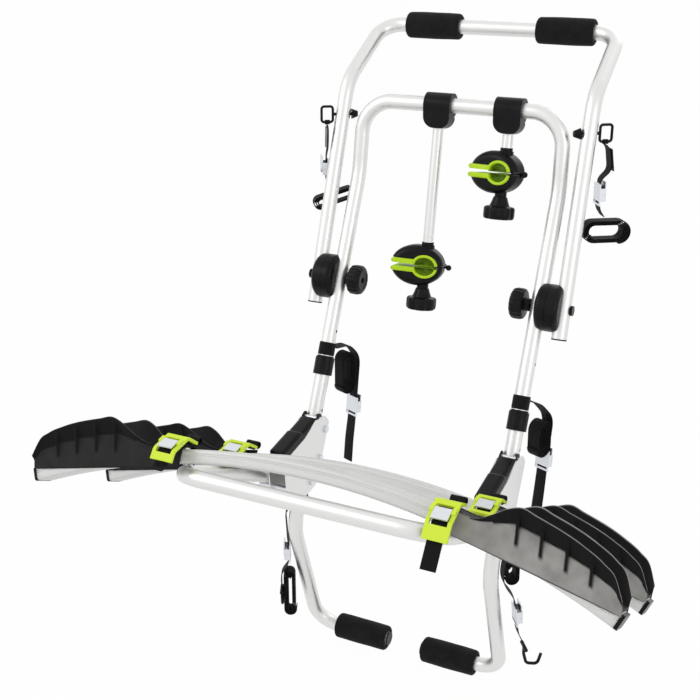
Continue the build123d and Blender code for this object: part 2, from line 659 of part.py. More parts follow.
def make_tray_rib(inwards, side):
    """A buttress from the flared rim down to the foot, on one outer wall."""
    x = RAIL_HALF_LENGTH - inwards
    rim, flare = tray_rim(inwards)
    rim_z = rail_z(x) + RAIL_H / 2 + rim
    foot = RAIL_W / 2 + PLAY + TRAY_T
    floor = rail_z(x) + RAIL_H / 2 + TRAY_T
    knee_z = floor + TRAY_KNEE_SHARE * (rim_z - floor)
    knee_y = foot + TRAY_KNEE_FLARE * flare
    outline = [(foot - 1, floor - 4), (foot + 2, floor - 6), (knee_y + TRAY_RIB_OUT, knee_z - 4),
               (foot + flare, rim_z - 8), (foot + flare - 2, rim_z - 8), (knee_y - 1, knee_z)]
    points = [(side * y, z) for y, z in outline]
    face = Plane(origin=(x, 0, 0), x_dir=(0, 1, 0), z_dir=(1, 0, 0)) * make_face(
        Polyline(*points, close=True))
    return extrude(face, TRAY_RIB_W / 2, both=True)


def make_tray(rail_y):
    """The right-hand tray on one rail, cut away round the hoop's tube."""
    sections = [tray_section(*station) for station in TRAY_STATIONS]
    tray = loft(sections, ruled=True)
    for inwards in TRAY_RIBS_IN:
        for side in (-1, 1):
            tray = tray + make_tray_rib(inwards, side)
    tray = Pos(0, rail_y, 0) * tray
    points = [(ARM_X, 0, 0), (ARM_X, -HOOP_FRONT, 0), (0, -HOOP_FRONT, 0)]
    return tray - tube(points, [HOOP_CORNER_R], TUBE_OD + 4 * PLAY, 0)


def wheel_buckle_path(rail, side):
    """Side view of one buckle: it arches forward over the rail's edge, then hangs in front of it."""
    top = rail_z(WHEEL_BUCKLE_X) + RAIL_H / 2
    front = RAIL_YS[rail] - RAIL_W / 2
    return [(front + y, top + z) for y, z in WHEEL_BUCKLES[rail, side]]


def inner_offset(points, distance):
    """The same side-view path moved towards its left, with its corners mitred."""
    normals = []
    for (y0, z0), (y1, z1) in zip(points, points[1:]):
        length = math.hypot(y1 - y0, z1 - z0)
        normals.append(((z0 - z1) / length, (y1 - y0) / length))
    moved = []
    for index, (y, z) in enumerate(points):
        before = normals[max(index - 1, 0)]
        after = normals[min(index, len(normals) - 1)]
        reach = distance / (1 + before[0] * after[0] + before[1] * after[1])
        moved.append((y + reach * (before[0] + after[0]), z + reach * (before[1] + after[1])))
    return moved


def profile_plane(x, y, z, dy, dz):
    """A plane square to a path in side view, with its own X across the band."""
    return Plane(origin=(x, y, z), x_dir=(1, 0, 0), z_dir=(0, dy, dz))


def side_band(points, radii, x, width, thickness):
    """A band of constant width whose path is given in side view as (y, z) points."""
    path = FilletPolyline(*[(x, y, z) for y, z in points], radius=radii)
    start = path % 0
    face = profile_plane(x, *points[0], start.Y, start.Z) * Rectangle(width, thickness)
    return sweep(face, path=path)


def beyond(start, end, length):
    """The point that much further on from the start past the end, in side view."""
    share = length / math.dist(start, end)
    return end[0] + share * (end[0] - start[0]), end[1] + share * (end[1] - start[1])


def wheel_cam_plane(rail, side):
    """The cam pin's axes: X along the pin, Y back up the buckle and Z off its outer face."""
    (y0, z0), (y1, z1) = wheel_buckle_path(rail, side)[1:3]
    length = math.hypot(y1 - y0, z1 - z0)
    out = ((z1 - z0) / length, (y0 - y1) / length)
    rise = (CAM_BARREL_D - BUCKLE_FRAME_T) / 2
    return Plane(origin=(WHEEL_BUCKLE_X, (y0 + y1) / 2 + out[0] * rise, (z0 + z1) / 2 + out[1] * rise),
                 x_dir=(1, 0, 0), z_dir=(0, *out))


def make_wheel_buckle(rail, side):
    """A lime frame with a window for the strap and two cheeks for the cam's pin."""
    path = wheel_buckle_path(rail, side)
    frame = side_band(path, list(WHEEL_BUCKLE_RADII), WHEEL_BUCKLE_X, BUCKLE_FRAME_W, BUCKLE_FRAME_T)
    plane = wheel_cam_plane(rail, side)
    window_l = BUCKLE_WINDOW_UP + BUCKLE_WINDOW_DOWN
    window = Pos(0, BUCKLE_WINDOW_UP - window_l / 2, 0)
    frame = frame - plane * (window * Box(BUCKLE_WINDOW_W, window_l, 2 * CAM_BARREL_D + 4 * BUCKLE_FRAME_T))
    cheek_w = (BUCKLE_FRAME_W - BUCKLE_WINDOW_W) / 2
    for sign in (-1, 1):
        cheek = Pos(sign * (BUCKLE_WINDOW_W + cheek_w) / 2, 0, 0)
        frame = frame + plane * (cheek * Box(cheek_w, CAM_BARREL_D + 4, CAM_BARREL_D))
    return frame - plane * Cylinder(CAM_PIN_D / 2 + PLAY / 2, 2 * BUCKLE_FRAME_W, rotation=(0, 90, 0))


def make_wheel_cam(rail, side):
    """A barrel on its pin and a thumb plate that points down the buckle."""
    width = BUCKLE_WINDOW_W - 4 * PLAY
    barrel = Cylinder(CAM_BARREL_D / 2, width, rotation=(0, 90, 0))
    pin = Cylinder(CAM_PIN_D / 2, BUCKLE_FRAME_W - 2 * PLAY, rotation=(0, 90, 0))
    plate = Pos(0, -WHEEL_CAM_ARM_L / 2, CAM_BARREL_D / 2 - CAM_ARM_T / 2)
    plate = plate * Box(width, WHEEL_CAM_ARM_L, CAM_ARM_T)
    return wheel_cam_plane(rail, side) * (barrel + pin + plate)


def make_wheel_strap(rail, side):
    """Webbing fixed over the rail, slack over the tray's tongue, then behind the buckle to its tail."""
    path = wheel_buckle_path(rail, side)
    under = (BUCKLE_FRAME_T + STRAP_T) / 2 + PLAY
    start_y, start_z = path[0]
    slack = [(start_y + y, start_z + z) for y, z in WHEEL_SLACK]
    inner = inner_offset(path, under)
    behind = beyond(inner[1], inner[0], WHEEL_TAIL_CLEAR)
    past = beyond(inner[-2], inner[-1], WHEEL_TAIL_CLEAR)
    flick = REAR_WHEEL_TAIL if rail == "rear" else WHEEL_TAILS[side]
    points = slack + [behind] + inner[1:-1] + [past, (past[0] + flick[0], past[1] + flick[1])]
    radii = [*WHEEL_SLACK_RADII, *(radius - under for radius in WHEEL_BUCKLE_RADII), WHEEL_BUCKLE_RADII[1]]
    return side_band(points, radii, WHEEL_BUCKLE_X, STRAP_W, STRAP_T)


# Frame holders, each drawn in its own axes: Z up along the arm from the crossbar's centre
def holder_plane(kind):
    bar_y = main_top_y(MAIN_TOP_Z)
    return Plane(origin=(ARM_XS[kind], bar_y, MAIN_TOP_Z), x_dir=(1, 0, 0),
                 z_dir=(0, math.sin(ARM_LEAN), math.cos(ARM_LEAN)))


def head_plane(kind):
    """The middle of the head, turned about the arm."""
    drop = ARM_DROPS[kind] + NECK_H + HEAD_H / 2
    plane = holder_plane(kind)
    origin = plane.from_local_coords(Vector(0, 0, -drop))
    turn = math.radians(HEAD_TURNS[kind])
    mouth_line = plane.x_dir * math.cos(turn) + plane.y_dir * math.sin(turn)
    return Plane(origin=origin, x_dir=mouth_line, z_dir=plane.z_dir)


def make_clip():
    """A C-shaped clip round the crossbar, open at the rear, whose front runs down to the arm's socket."""
    outer = CLIP_OD / 2
    bore = TUBE_R + PLAY
    half = CLIP_SOCKET_W / 2
    ring = Circle(outer)
    leg = make_face(Polyline((-outer, 0), (0, -bore), (half, -outer), (half, -CLIP_DROP),
                             (-half, -CLIP_DROP), close=True))
    mouth = Pos(outer, 0) * Rectangle(2 * outer, CLIP_MOUTH)
    face = Plane.YZ * (ring + leg - Circle(bore) - mouth)
    clip = extrude(face, CLIP_W / 2, both=True)
    front = Pos(0, (outer - CLIP_DROP) / 2) * Rectangle(CLIP_W, outer + CLIP_DROP)
    front = fillet(front.vertices().group_by(Axis.Y)[0], CLIP_CORNER_R)
    clip = clip & extrude(Plane.XZ * front, CLIP_OD, both=True)
    socket = Pos(0, 0, -CLIP_DROP) * Cylinder(ARM_OD / 2 + PLAY / 6, 2 * (CLIP_DROP - bore - EAR_T))
    return clip - socket


def make_arm(kind):
    top = TUBE_R + PLAY + EAR_T
    length = ARM_DROPS[kind] - top + NECK_H
    outer = Cylinder(ARM_OD / 2, length, align=(Align.CENTER, Align.CENTER, Align.MAX))
    inner = Cylinder(ARM_OD / 2 - ARM_WALL, length, align=(Align.CENTER, Align.CENTER, Align.MAX))
    return holder_plane(kind) * (Pos(0, 0, -top) * (outer - inner))


def head_outline():
    return Pos(HEAD_OFFSET, 0) * Ellipse(HEAD_L / 2, HEAD_H / 2)


def pocket_outline(inset):
    """The pocket and its mouth, drawn inwards by the inset."""
    pocket = Pos(POCKET_X, 0) * Ellipse(POCKET_L / 2 - inset, POCKET_H / 2 - inset)
    half_mouth = MOUTH_H / 2 + (LIP_H if inset == 0 else 0)
    mouth = Pos(POCKET_X - HEAD_L, 0) * Rectangle(2 * HEAD_L, 2 * half_mouth)
    return pocket + mouth


def half_space(sign, gap):
    """The block above or below the parting plane, less the gap."""
    size = 4 * HEAD_L
    return Pos(0, 0, sign * (size / 2 + gap)) * Box(size, size, size)


def keeper_slot(sign):
    """The cord's slot; in the lower jaw it is deeper, so that the jaw's rear can swing up past the cord."""
    depth = KEEPER_D / 2 + PLAY if sign > 0 else KEEPER_SWING
    return Pos(HEAD_L / 2, 0, 0) * Box(HEAD_L, KEEPER_D + 2 * PLAY, 2 * depth)


def make_jaw(sign):
    """One black half of the head: the upper one for +1, the lower one for -1."""
    body = extrude(Plane.XZ * head_outline(), HEAD_T / 2, both=True)
    body = fillet(body.edges(), HEAD_EDGE_R)
    cut = extrude(Plane.XZ * pocket_outline(0), HEAD_T, both=True)
    return ((body - cut) & half_space(sign, JAW_GAP / 2)) - keeper_slot(sign)


def hinge_knuckles(diameter):
    """Two knuckles at the head's rear, either side of the keeper's slot."""
    inner = KEEPER_D + 2
    length = HEAD_T / 2 - inner - 2
    knuckles = []
    for side in (-1, 1):
        place = Pos(JAW_HINGE_X, side * (inner + length / 2), 0)
        knuckles.append(place * Cylinder(diameter / 2, length, rotation=(90, 0, 0)))
    return knuckles


def make_upper_jaw(kind):
    jaw = make_jaw(1)
    for knuckle in hinge_knuckles(JAW_HINGE_D):
        jaw = jaw + knuckle
    neck = Pos(0, 0, HEAD_H / 2 - NECK_H) * Cylinder(NECK_D / 2, 2 * NECK_H)
    ring = Pos(0, 0, HEAD_H / 2 + NECK_H / 2) * Cylinder(ARM_OD / 2 + 1.5, NECK_H)
    bore = Pos(0, 0, HEAD_H / 2) * Cylinder(ARM_OD / 2 + PLAY, 2 * NECK_H)
    return head_plane(kind) * (jaw + neck + ring - bore)


def make_lower_jaw(kind):
    jaw = make_jaw(-1)
    for knuckle in hinge_knuckles(JAW_HINGE_D + 4 * PLAY):
        jaw = jaw - knuckle
    boss = Pos(KNOB_X, 0, -HEAD_H / 2 - BOSS_H / 2 + 3) * Cylinder(CLAMP_KNOB_NECK_D / 2 - 2, BOSS_H + 6)
    bore = Pos(KNOB_X, 0, -HEAD_H / 2) * Cylinder(ROD_D / 2 + PLAY / 2, HEAD_H)
    return head_plane(kind) * (jaw + boss - bore)


def make_liner(kind, sign):
    """One lime half: it lines the pocket and the mouth, with a rounded nose at the mouth's end."""
    face = pocket_outline(0) - pocket_outline(LINER_T)
    nose_x = HEAD_OFFSET - HEAD_L / 2 + NOSE_D
    nose = Pos(nose_x, MOUTH_H / 2 + 1) * Circle(NOSE_D / 2)
    face = face + nose if sign > 0 else face - nose
    end = HEAD_OFFSET - HEAD_L / 2 + 2
    block = extrude(Plane.XZ * face, HEAD_T / 2 + LINER_OUT, both=True)
    block = block & (half_space(sign, PLAY) if sign > 0 else half_space(sign, JAW_GAP / 2))
    size = 4 * HEAD_L
    block = block & (Pos(end + size / 2, 0, 0) * Box(size, size, size))
    return head_plane(kind) * (block - keeper_slot(sign))


def make_clamp_rod(kind):
    tip = -POCKET_H / 2 - PLAY
    low = -HEAD_H / 2 - BOSS_H - CLAMP_KNOB_NECK_H - CLAMP_KNOB_H + 6
    return head_plane(kind) * rod((KNOB_X, 0, low), (KNOB_X, 0, tip), ROD_D)


def make_clamp_knob(kind):
    """A lobed knob with a tapered neck, hung under the lower jaw."""
    top = -HEAD_H / 2 - BOSS_H - PLAY
    neck = Pos(0, 0, -CLAMP_KNOB_NECK_H / 2) * Cone(
        CLAMP_KNOB_D / 2 - 10, CLAMP_KNOB_NECK_D / 2, CLAMP_KNOB_NECK_H)
    grip = scalloped_disc(CLAMP_KNOB_D, CLAMP_KNOB_H, CLAMP_KNOB_LOBES, CLAMP_KNOB_GROOVE_D)
    grip = Pos(0, 0, -CLAMP_KNOB_NECK_H - CLAMP_KNOB_H) * grip
    bore_length = CLAMP_KNOB_NECK_H + CLAMP_KNOB_H - 6 + PLAY
    bore = Pos(0, 0, -bore_length / 2) * Cylinder(ROD_D / 2 + PLAY / 6, bore_length)
    return head_plane(kind) * (Pos(KNOB_X, 0, top) * (neck + grip - bore))


def make_keeper(kind):
    ball_x = HEAD_OFFSET + HEAD_L / 2 + KEEPER_REACH + KEEPER_BALL_D / 2
    cord = rod((POCKET_X + POCKET_L / 2 - LINER_T, 0, 0), (ball_x, 0, 0), KEEPER_D)
    return head_plane(kind) * (cord + Pos(ball_x, 0, 0) * Sphere(KEEPER_BALL_D / 2))


# Tie-down straps, each drawn in a hanging plane: U outwards from its tube and V up
def hanging_plane(origin, toward):
    """U is the horizontal direction given, V is up, and the webbing's width is square to both."""
    u_axis = Vector(*toward, 0).normalized()
    return Plane(origin=origin, x_dir=u_axis, z_dir=u_axis.cross(Vector(0, 0, 1)))


def band_from_path(plane, path):
    """Webbing swept along a path that lies in the plane."""
    start = Plane(origin=path @ 0, x_dir=plane.z_dir, z_dir=path % 0)
    return sweep(start * Rectangle(STRAP_W, STRAP_T), path=path)


def webbing(plane, points, radii):
    path = FilletPolyline(*[plane.from_local_coords(Vector(u, v, 0)) for u, v in points], radius=radii)
    return band_from_path(plane, path)


def hank_arcs(turns, straight, core):
    """The arcs of a flat hank: (centre u, centre v, radius, sign), with V along its straights."""
    arcs = []
    for turn in range(turns):
        arcs.append((0.0, 0.0, core + turn * HANK_PITCH, 1))
        arcs.append((-HANK_PITCH / 2, -straight, core + (turn + 0.5) * HANK_PITCH, -1))
    return arcs


def hank_gap(turns, straight, core):
    """The least gap of a hank to itself, from points a millimetre or so apart along its middle."""
    points = []
    for u, v, radius, sign in hank_arcs(turns, straight, core):
        steps = math.ceil(math.pi * radius)
        for step in range(steps + 1):
            angle = math.pi * step / steps
            points.append((u - sign * radius * math.cos(angle), v + sign * radius * math.sin(angle)))
    dense = []
    for (u0, v0), (u1, v1) in zip(points, points[1:]):
        steps = math.ceil(math.hypot(u1 - u0, v1 - v0))
        dense += [(u0 + (u1 - u0) * k / steps, v0 + (v1 - v0) * k / steps) for k in range(steps)]
    apart = math.ceil(math.pi * core)
    least = min(math.dist(first, second) for index, first in enumerate(dense)
                for second in dense[index + apart:])
    return least - STRAP_T


def hank(plane, turns, straight, core, angle):
    """One unbroken band wound as a flat hank, hung from its top at the plane's origin."""
    top = core + (turns - 1) * HANK_PITCH
    turned = Location((0, 0, 0), (0, 0, angle))

    def at(u, v):
        return plane.from_local_coords((turned * Pos(u, v - top, 0)).position)

    edges = []
    last = None
    for u, v, radius, sign in hank_arcs(turns, straight, core):
        first = at(u - sign * radius, v)
        middle = at(u, v + sign * radius)
        end = at(u + sign * radius, v)
        if last is not None:
            edges.append(Line(last, first))
        edges.append(ThreePointArc(first, middle, end))
        last = end
    return band_from_path(plane, Wire(edges))


def make_buckle(plane):
    """A zinc buckle frame: a floor plate and two cheeks that carry the cam's pin."""
    floor = Pos(0, 0, BUCKLE_T / 2) * Box(BUCKLE_W, BUCKLE_L, BUCKLE_T)
    floor = floor - Pos(0, -BUCKLE_L / 2 + 6, 0) * Box(STRAP_W + 1, 4, BUCKLE_CHEEK_H)
    for side in (-1, 1):
        cheek = Pos(side * (BUCKLE_W - BUCKLE_T) / 2, 0, BUCKLE_CHEEK_H / 2)
        floor = floor + cheek * Box(BUCKLE_T, BUCKLE_L * 0.6, BUCKLE_CHEEK_H)
    pin_hole = Pos(0, 0, cam_rise()) * Cylinder(CAM_PIN_D / 2 + PLAY / 2, 2 * BUCKLE_W, rotation=(0, 90, 0))
    return plane * (floor - pin_hole)


def cam_rise():
    """Height of the cam's pin over the back of its buckle."""
    return BUCKLE_T + STRAP_T + 2 * PLAY + CAM_BARREL_D / 2


def make_thumb_cam(plane):
    width = BUCKLE_W - 2 * BUCKLE_T - 4 * PLAY
    barrel = Cylinder(CAM_BARREL_D / 2, width, rotation=(0, 90, 0))
    pin = Cylinder(CAM_PIN_D / 2, BUCKLE_W - PLAY, rotation=(0, 90, 0))
    plate = Pos(0, CAM_ARM_L / 2, CAM_BARREL_D / 2 - CAM_ARM_T / 2) * Box(width, CAM_ARM_L, CAM_ARM_T)
    return plane * (Pos(0, 0, cam_rise()) * (barrel + pin + plate))


def wire_loop(plane, points, radii, diameter):
    """A bent wire along points given in the hanging plane."""
    path = FilletPolyline(*[plane.from_local_coords(Vector(u, v, 0)) for u, v in points], radius=radii)
    return sweep(Plane(origin=path @ 0, z_dir=path % 0) * Circle(diameter / 2), path=path)


def cone_nut(seat, direction):
    """A moulded cone nut on a cross bolt, tapering away from the tube."""
    plane = Plane(origin=seat, z_dir=direction)
    return plane * Cone(CONE_D / 2, CONE_TIP_D / 2, CONE_H, align=(Align.CENTER, Align.CENTER, Align.MIN))


def make_leg_anchor(centre):
    """A cross bolt through the leg and its webbing, with a cone nut at each end."""
    reach = Vector(RING_OD / 2 + PLAY, 0, 0)
    bolt = rod(centre - reach, centre + reach, ANCHOR_D)
    return cone_nut(centre - reach, reach * -1) + bolt + cone_nut(centre + reach, reach)


def make_eye_anchor(name):
    """A cross bolt through the upper tube: a cone nut on the inner end, a wire eye on the outer one."""
    plane = strap_plane(name)
    centre = STRAPS[name][0]
    seat = centre - plane.x_dir * (TUBE_R + CONE_STANDOFF)
    near = EYE_U - EYE_W / 2
    bolt = rod(seat, centre + plane.x_dir * near, ANCHOR_D)
    upright = Plane(origin=plane.from_local_coords(Vector(EYE_U, 0, 0)), x_dir=plane.x_dir, z_dir=plane.z_dir)
    path = upright * RectangleRounded(EYE_W, EYE_H, EYE_CORNER_R).wire()
    eye = sweep(Plane(origin=path @ 0, z_dir=path % 0) * Circle(EYE_WIRE_D / 2), path=path)
    return cone_nut(seat, plane.x_dir * -1) + bolt + eye


def strap_ring(centre, axis):
    """Webbing wrapped once round a tube, with a hole across it for an anchor bolt."""
    half = axis * (STRAP_W / 2)
    ring = rod(centre - half, centre + half, RING_OD) - rod(centre - axis * STRAP_W, centre + axis * STRAP_W,
                                                            RING_OD - 2 * STRAP_T)
    return ring - x_disc(centre.X - RING_OD, centre.X + RING_OD, centre.Y, centre.Z, ANCHOR_D + 2 * PLAY)


# Where each strap hangs, which way, its run down from its ring or eye, the run's radii, and its hank as
# (u, v, straight, core radius), with the hank's turns and angle below
START_U = RING_OD / 2 + 2.0
START_V = -CONE_D / 2 - 3.0
EYE_LOOP_R = EYE_WIRE_D / 2 + PLAY + STRAP_T
EYE_START_V = -EYE_H / 2 - EYE_LOOP_R - 2 * PLAY


def on_main(side, z):
    return Vector(side * MAIN_HALF_WIDTH, main_y(z), z)


def on_upper(side):
    return Vector(side * upper_x(UPPER_ANCHOR_Z), upper_y(UPPER_ANCHOR_Z), UPPER_ANCHOR_Z)


STRAPS = {
    "mid_right": (on_main(1, SLEEVE_Z[1] + STRAP_LOOP_RISE), (0.384, 0.923),
                  ((START_U, 0), (46, -14), (82, -50), (76, -108), (72, -166), (68, -206), (62, -258)),
                  (24, 40, 60, 90, 90), (58, -55, 26, 10)),
    "mid_left": (on_main(-1, SLEEVE_Z[-1] + STRAP_LOOP_RISE), (0.384, 0.923),
                 ((START_U, 0), (50, -2), (76, -30), (70, -110), (64, -168), (58, -210), (54, -258)),
                 (20, 40, 60, 90, 90), (46, -20, 45, 8)),
    "lower_right": (on_main(1, LOWER_ANCHOR_Z), (0.82, 0.57),
                    ((START_U, START_V), (20, -20), (14, -74), (42, -112), (50, -186), (66, -218)),
                    (20, 50, 60, 60), (33, -36, 14, 6)),
    "lower_left": (on_main(-1, LOWER_ANCHOR_Z), (-0.898, -0.439),
                   ((START_U, START_V), (27, -26), (24, -80), (22, -92), (22, -140), (38, -164), (38, -200)),
                   (12, 60, 40, 20, 20), (22, -160, 70, 3)),
    "upper_right": (on_upper(1), (0.82, 0.57),
                    ((EYE_U, EYE_START_V), (37, -26), (43, -66), (25, -82), (26, -136), (36, -150)),
                    (9, 14, 14, 16), (2, -178, 40, 12)),
    "upper_left": (on_upper(-1), (-0.82, -0.57),
                   ((EYE_U, EYE_START_V), (30, -24), (31, -66), (34, -80), (34, -128), (30, -138)),
                   (10, 30, 30, 20), (-20, -152, 56, 6)),
}
HANK_TURNS = {"mid_right": 4, "mid_left": 4, "lower_right": 3, "lower_left": 4, "upper_right": 4,
              "upper_left": 3}
HANK_ANGLES = {"mid_right": 0, "mid_left": 0, "lower_right": 0, "lower_left": 0, "upper_right": 90,
               "upper_left": 73}


def strap_plane(name):
    return hanging_plane(*STRAPS[name][:2])


def eye_loop(name):
    """Webbing gathered and sewn round the lower side of its eye."""
    plane = strap_plane(name)
    middle = plane.from_local_coords(Vector(EYE_U, -EYE_H / 2, 0))
    half = plane.x_dir * (EYE_LOOP_W / 2)
    return (rod(middle - half, middle + half, 2 * EYE_LOOP_R)
            - rod(middle - half * 2, middle + half * 2, EYE_WIRE_D + 2 * PLAY))


def make_strap(name):
    """The loop round the tube or eye, the webbing that hangs from it and its folded hank."""
    centre, toward, run, radii, (u, v, straight, core) = STRAPS[name]
    loop = eye_loop(name) if name.startswith("upper") else strap_ring(centre, lean_axis(MAIN_LEAN))
    plane = strap_plane(name)
    hung = Plane(origin=plane.from_local_coords(Vector(u, v, 0)), x_dir=plane.x_dir, z_dir=plane.z_dir)
    folded = hank(hung, HANK_TURNS[name], straight, core, HANK_ANGLES[name])
    return [loop, webbing(plane, run, radii), folded]


def run_plane(name, index, lift):
    """Axes on one straight run of a strap: X across it, Y up along it and Z off its outer face."""
    run = STRAPS[name][2]
    plane = strap_plane(name)
    low = plane.from_local_coords(Vector(*run[index + 1], 0))
    high = plane.from_local_coords(Vector(*run[index], 0))
    along = (high - low).normalized()
    out = along.cross(plane.z_dir)
    return Plane(origin=(low + high) * 0.5 + out * lift, x_dir=plane.z_dir * -1, z_dir=out)


def strap_buckle_plane(name):
    """A buckle lies behind its webbing, with the cam pressing on the outer face."""
    return run_plane(name, BUCKLE_RUN, -STRAP_T / 2 - PLAY - BUCKLE_T)


def make_hook(name):
    """A coated hook under a strap's lower end: an eye bar, a shank and a claw turned about the shank."""
    plane = strap_plane(name)
    u, v = STRAPS[name][2][-1]
    bar = plane.from_local_coords(Vector(u, v - HOOK_BAR_D / 2 - PLAY, 0))
    turn = math.radians(HOOK_TURNS[name])
    out = plane.x_dir * math.cos(turn) + plane.z_dir * math.sin(turn)
    claw = wire_loop(hanging_plane(bar, (out.X, out.Y)), HOOK_LINE, HOOK_RADII, HOOK_D)
    across = plane.z_dir * (STRAP_W / 2 + 2)
    return claw + rod(bar - across, bar + across, HOOK_BAR_D)


def make_strap_plate(name):
    """The stamped zinc plate on an upper strap, over its outer face."""
    plane = run_plane(name, PLATE_RUN, STRAP_T / 2 + PLAY)
    return plane * (Pos(0, 0, BUCKLE_T / 2) * Box(BUCKLE_W, BUCKLE_L, BUCKLE_T))


def main():
    os.makedirs("parts", exist_ok=True)
    save("main_frame_tube", make_main_frame())
    save("lower_legs", both_sides(make_leg()))
    save("leg_pads", both_sides(foam_pad(LOWER_PAD_X, 0, 0)))
    save("leg_plugs", both_sides(tube_plug((LEG_END_X, 0, 0), (-1, 0, 0))))
    save("tube_collars", [*make_sleeve(1).solids(), *make_sleeve(-1).solids()])
    save("fold_brackets", [solid for plate in make_bracket() for solid in both_sides(plate)])
    save("bracket_bolts", [solid for bolt in make_bracket_bolts() + [make_pivot_bolt()]
                           for solid in both_sides(bolt)])
    main_point = Vector(MAIN_HALF_WIDTH, HINGE_Y, HINGE_Z)
    upper_axis = (upper_point(SHOULDER_Z) - upper_point(HINGE_Z)).normalized()
    cover = hinge_cover(HINGE_PARTING_X - HINGE_GAP / 2, main_point, lean_axis(MAIN_LEAN))
    hub = hinge_cover(HINGE_PARTING_X + HINGE_GAP / 2, upper_point(HINGE_Z), upper_axis)
    save("hinge_covers", both_sides(cover))
    save("hinge_hubs", both_sides(hub), both_sides(make_hinge_bolt()))

    save("upper_frame_tube", make_upper_frame())
    top_pads = [foam_pad(TOP_PAD_SHIFT + side * TOP_PAD_X, TOP_BAR_Y, TOP_BAR_Z) for side in (1, -1)]
    save("upper_pads", *top_pads)
    tail = upper_point(HINGE_Z - UPPER_TAIL * math.cos(UPPER_LEAN))
    save("upper_tube_plugs", both_sides(tube_plug(tail, upper_axis * -1)))
    knob = make_hinge_knob()
    save("hinge_knob_right", knob)
    save("hinge_knob_left", mirror(knob, about=Plane.YZ))
    lever = make_lever()
    save("fold_lever_right", lever)
    save("fold_lever_left", mirror(lever, about=Plane.YZ))

    save("platform_hoop", PLATFORM * make_hoop())
    save("platform_hubs", [PLATFORM * solid for solid in both_sides(make_hub())])
    rails = []
    caps = []
    bolts = []
    for rail_y in RAIL_YS.values():
        rails.append(PLATFORM * make_rail(rail_y))
        caps += [PLATFORM * solid for solid in both_sides(make_end_cap(rail_y))]
        bolts += [PLATFORM * solid for solid in both_sides(make_rail_bolt(rail_y))]
    save("bike_rails", *rails)
    save("rail_end_caps", caps)
    save("rail_bolts", bolts)
    frames = []
    straps = []
    for name, rail_y in RAIL_YS.items():
        save(f"{name}_trays", [PLATFORM * solid for solid in both_sides(make_tray(rail_y))])
        for side in WHEEL_TAILS:
            pieces = [make_wheel_buckle(name, side), make_wheel_strap(name, side),
                      make_wheel_cam(name, side)]
            if side == "left":
                pieces = [mirror(piece, about=Plane.YZ) for piece in pieces]
            frames.append(PLATFORM * pieces[0])
            straps.append(PLATFORM * pieces[1])
            save(f"{name}_wheel_cam_{side}", PLATFORM * pieces[2])
    save("wheel_buckle_frames", *frames)
    save("wheel_straps", *straps)

    for kind in ARM_XS:
        save(f"{kind}_arm_bracket", holder_plane(kind) * make_clip())
        save(f"{kind}_arm_tube", make_arm(kind))
        save(f"{kind}_upper_jaw", make_upper_jaw(kind))
        save(f"{kind}_lower_jaw", make_lower_jaw(kind))
        save(f"{kind}_upper_liner", make_liner(kind, 1))
        save(f"{kind}_lower_liner", make_liner(kind, -1))
        save(f"{kind}_clamp_rod", make_clamp_rod(kind))
        save(f"{kind}_clamp_knob", make_clamp_knob(kind))
        save(f"{kind}_keeper_strap", make_keeper(kind))

    for place in ("mid", "lower", "upper"):
        names = (f"{place}_right", f"{place}_left")
        save(f"{place}_straps", *[solid for name in names for solid in make_strap(name)])
        for side, name in zip(("right", "left"), names):
            save(f"{place}_strap_cam_{side}", make_thumb_cam(strap_buckle_plane(name)))
    buckles = {name: make_buckle(strap_buckle_plane(name)) for name in STRAPS}
    upper_buckles = [buckle for name, buckle in buckles.items() if name.startswith("upper")]
    frame_buckles = [buckle for name, buckle in buckles.items() if not name.startswith("upper")]
    save("frame_strap_buckles", *frame_buckles)
    save("upper_strap_buckles", *upper_buckles)
    hooks = [make_hook(name) for name in ("lower_right", "lower_left")]
    save("frame_strap_hardware", *hooks, both_sides(make_leg_anchor(on_main(1, LOWER_ANCHOR_Z))))
    names = ("upper_right", "upper_left")
    save("upper_strap_hardware", *(make_strap_plate(name) for name in names),
         *(make_eye_anchor(name) for name in names))
    gaps = [hank_gap(HANK_TURNS[name], *strap[-1][2:]) for name, strap in STRAPS.items()]
    print("least gap of each hank to itself, mm:", [round(gap, 2) for gap in gaps])


main()
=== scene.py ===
# %% [markdown]
# # A two-bike carrier for a car's tailgate
# The real object is a folding frame of satin aluminium tube with a platform of two bowed rails, black
# moulded wheel trays, two lime-lined clamps and a handful of black webbing straps. The solid model of
# it is loaded first. It is a fixed frame: each piece made below is put where that model says, in the
# same metres, so nothing has to be fitted by eye.

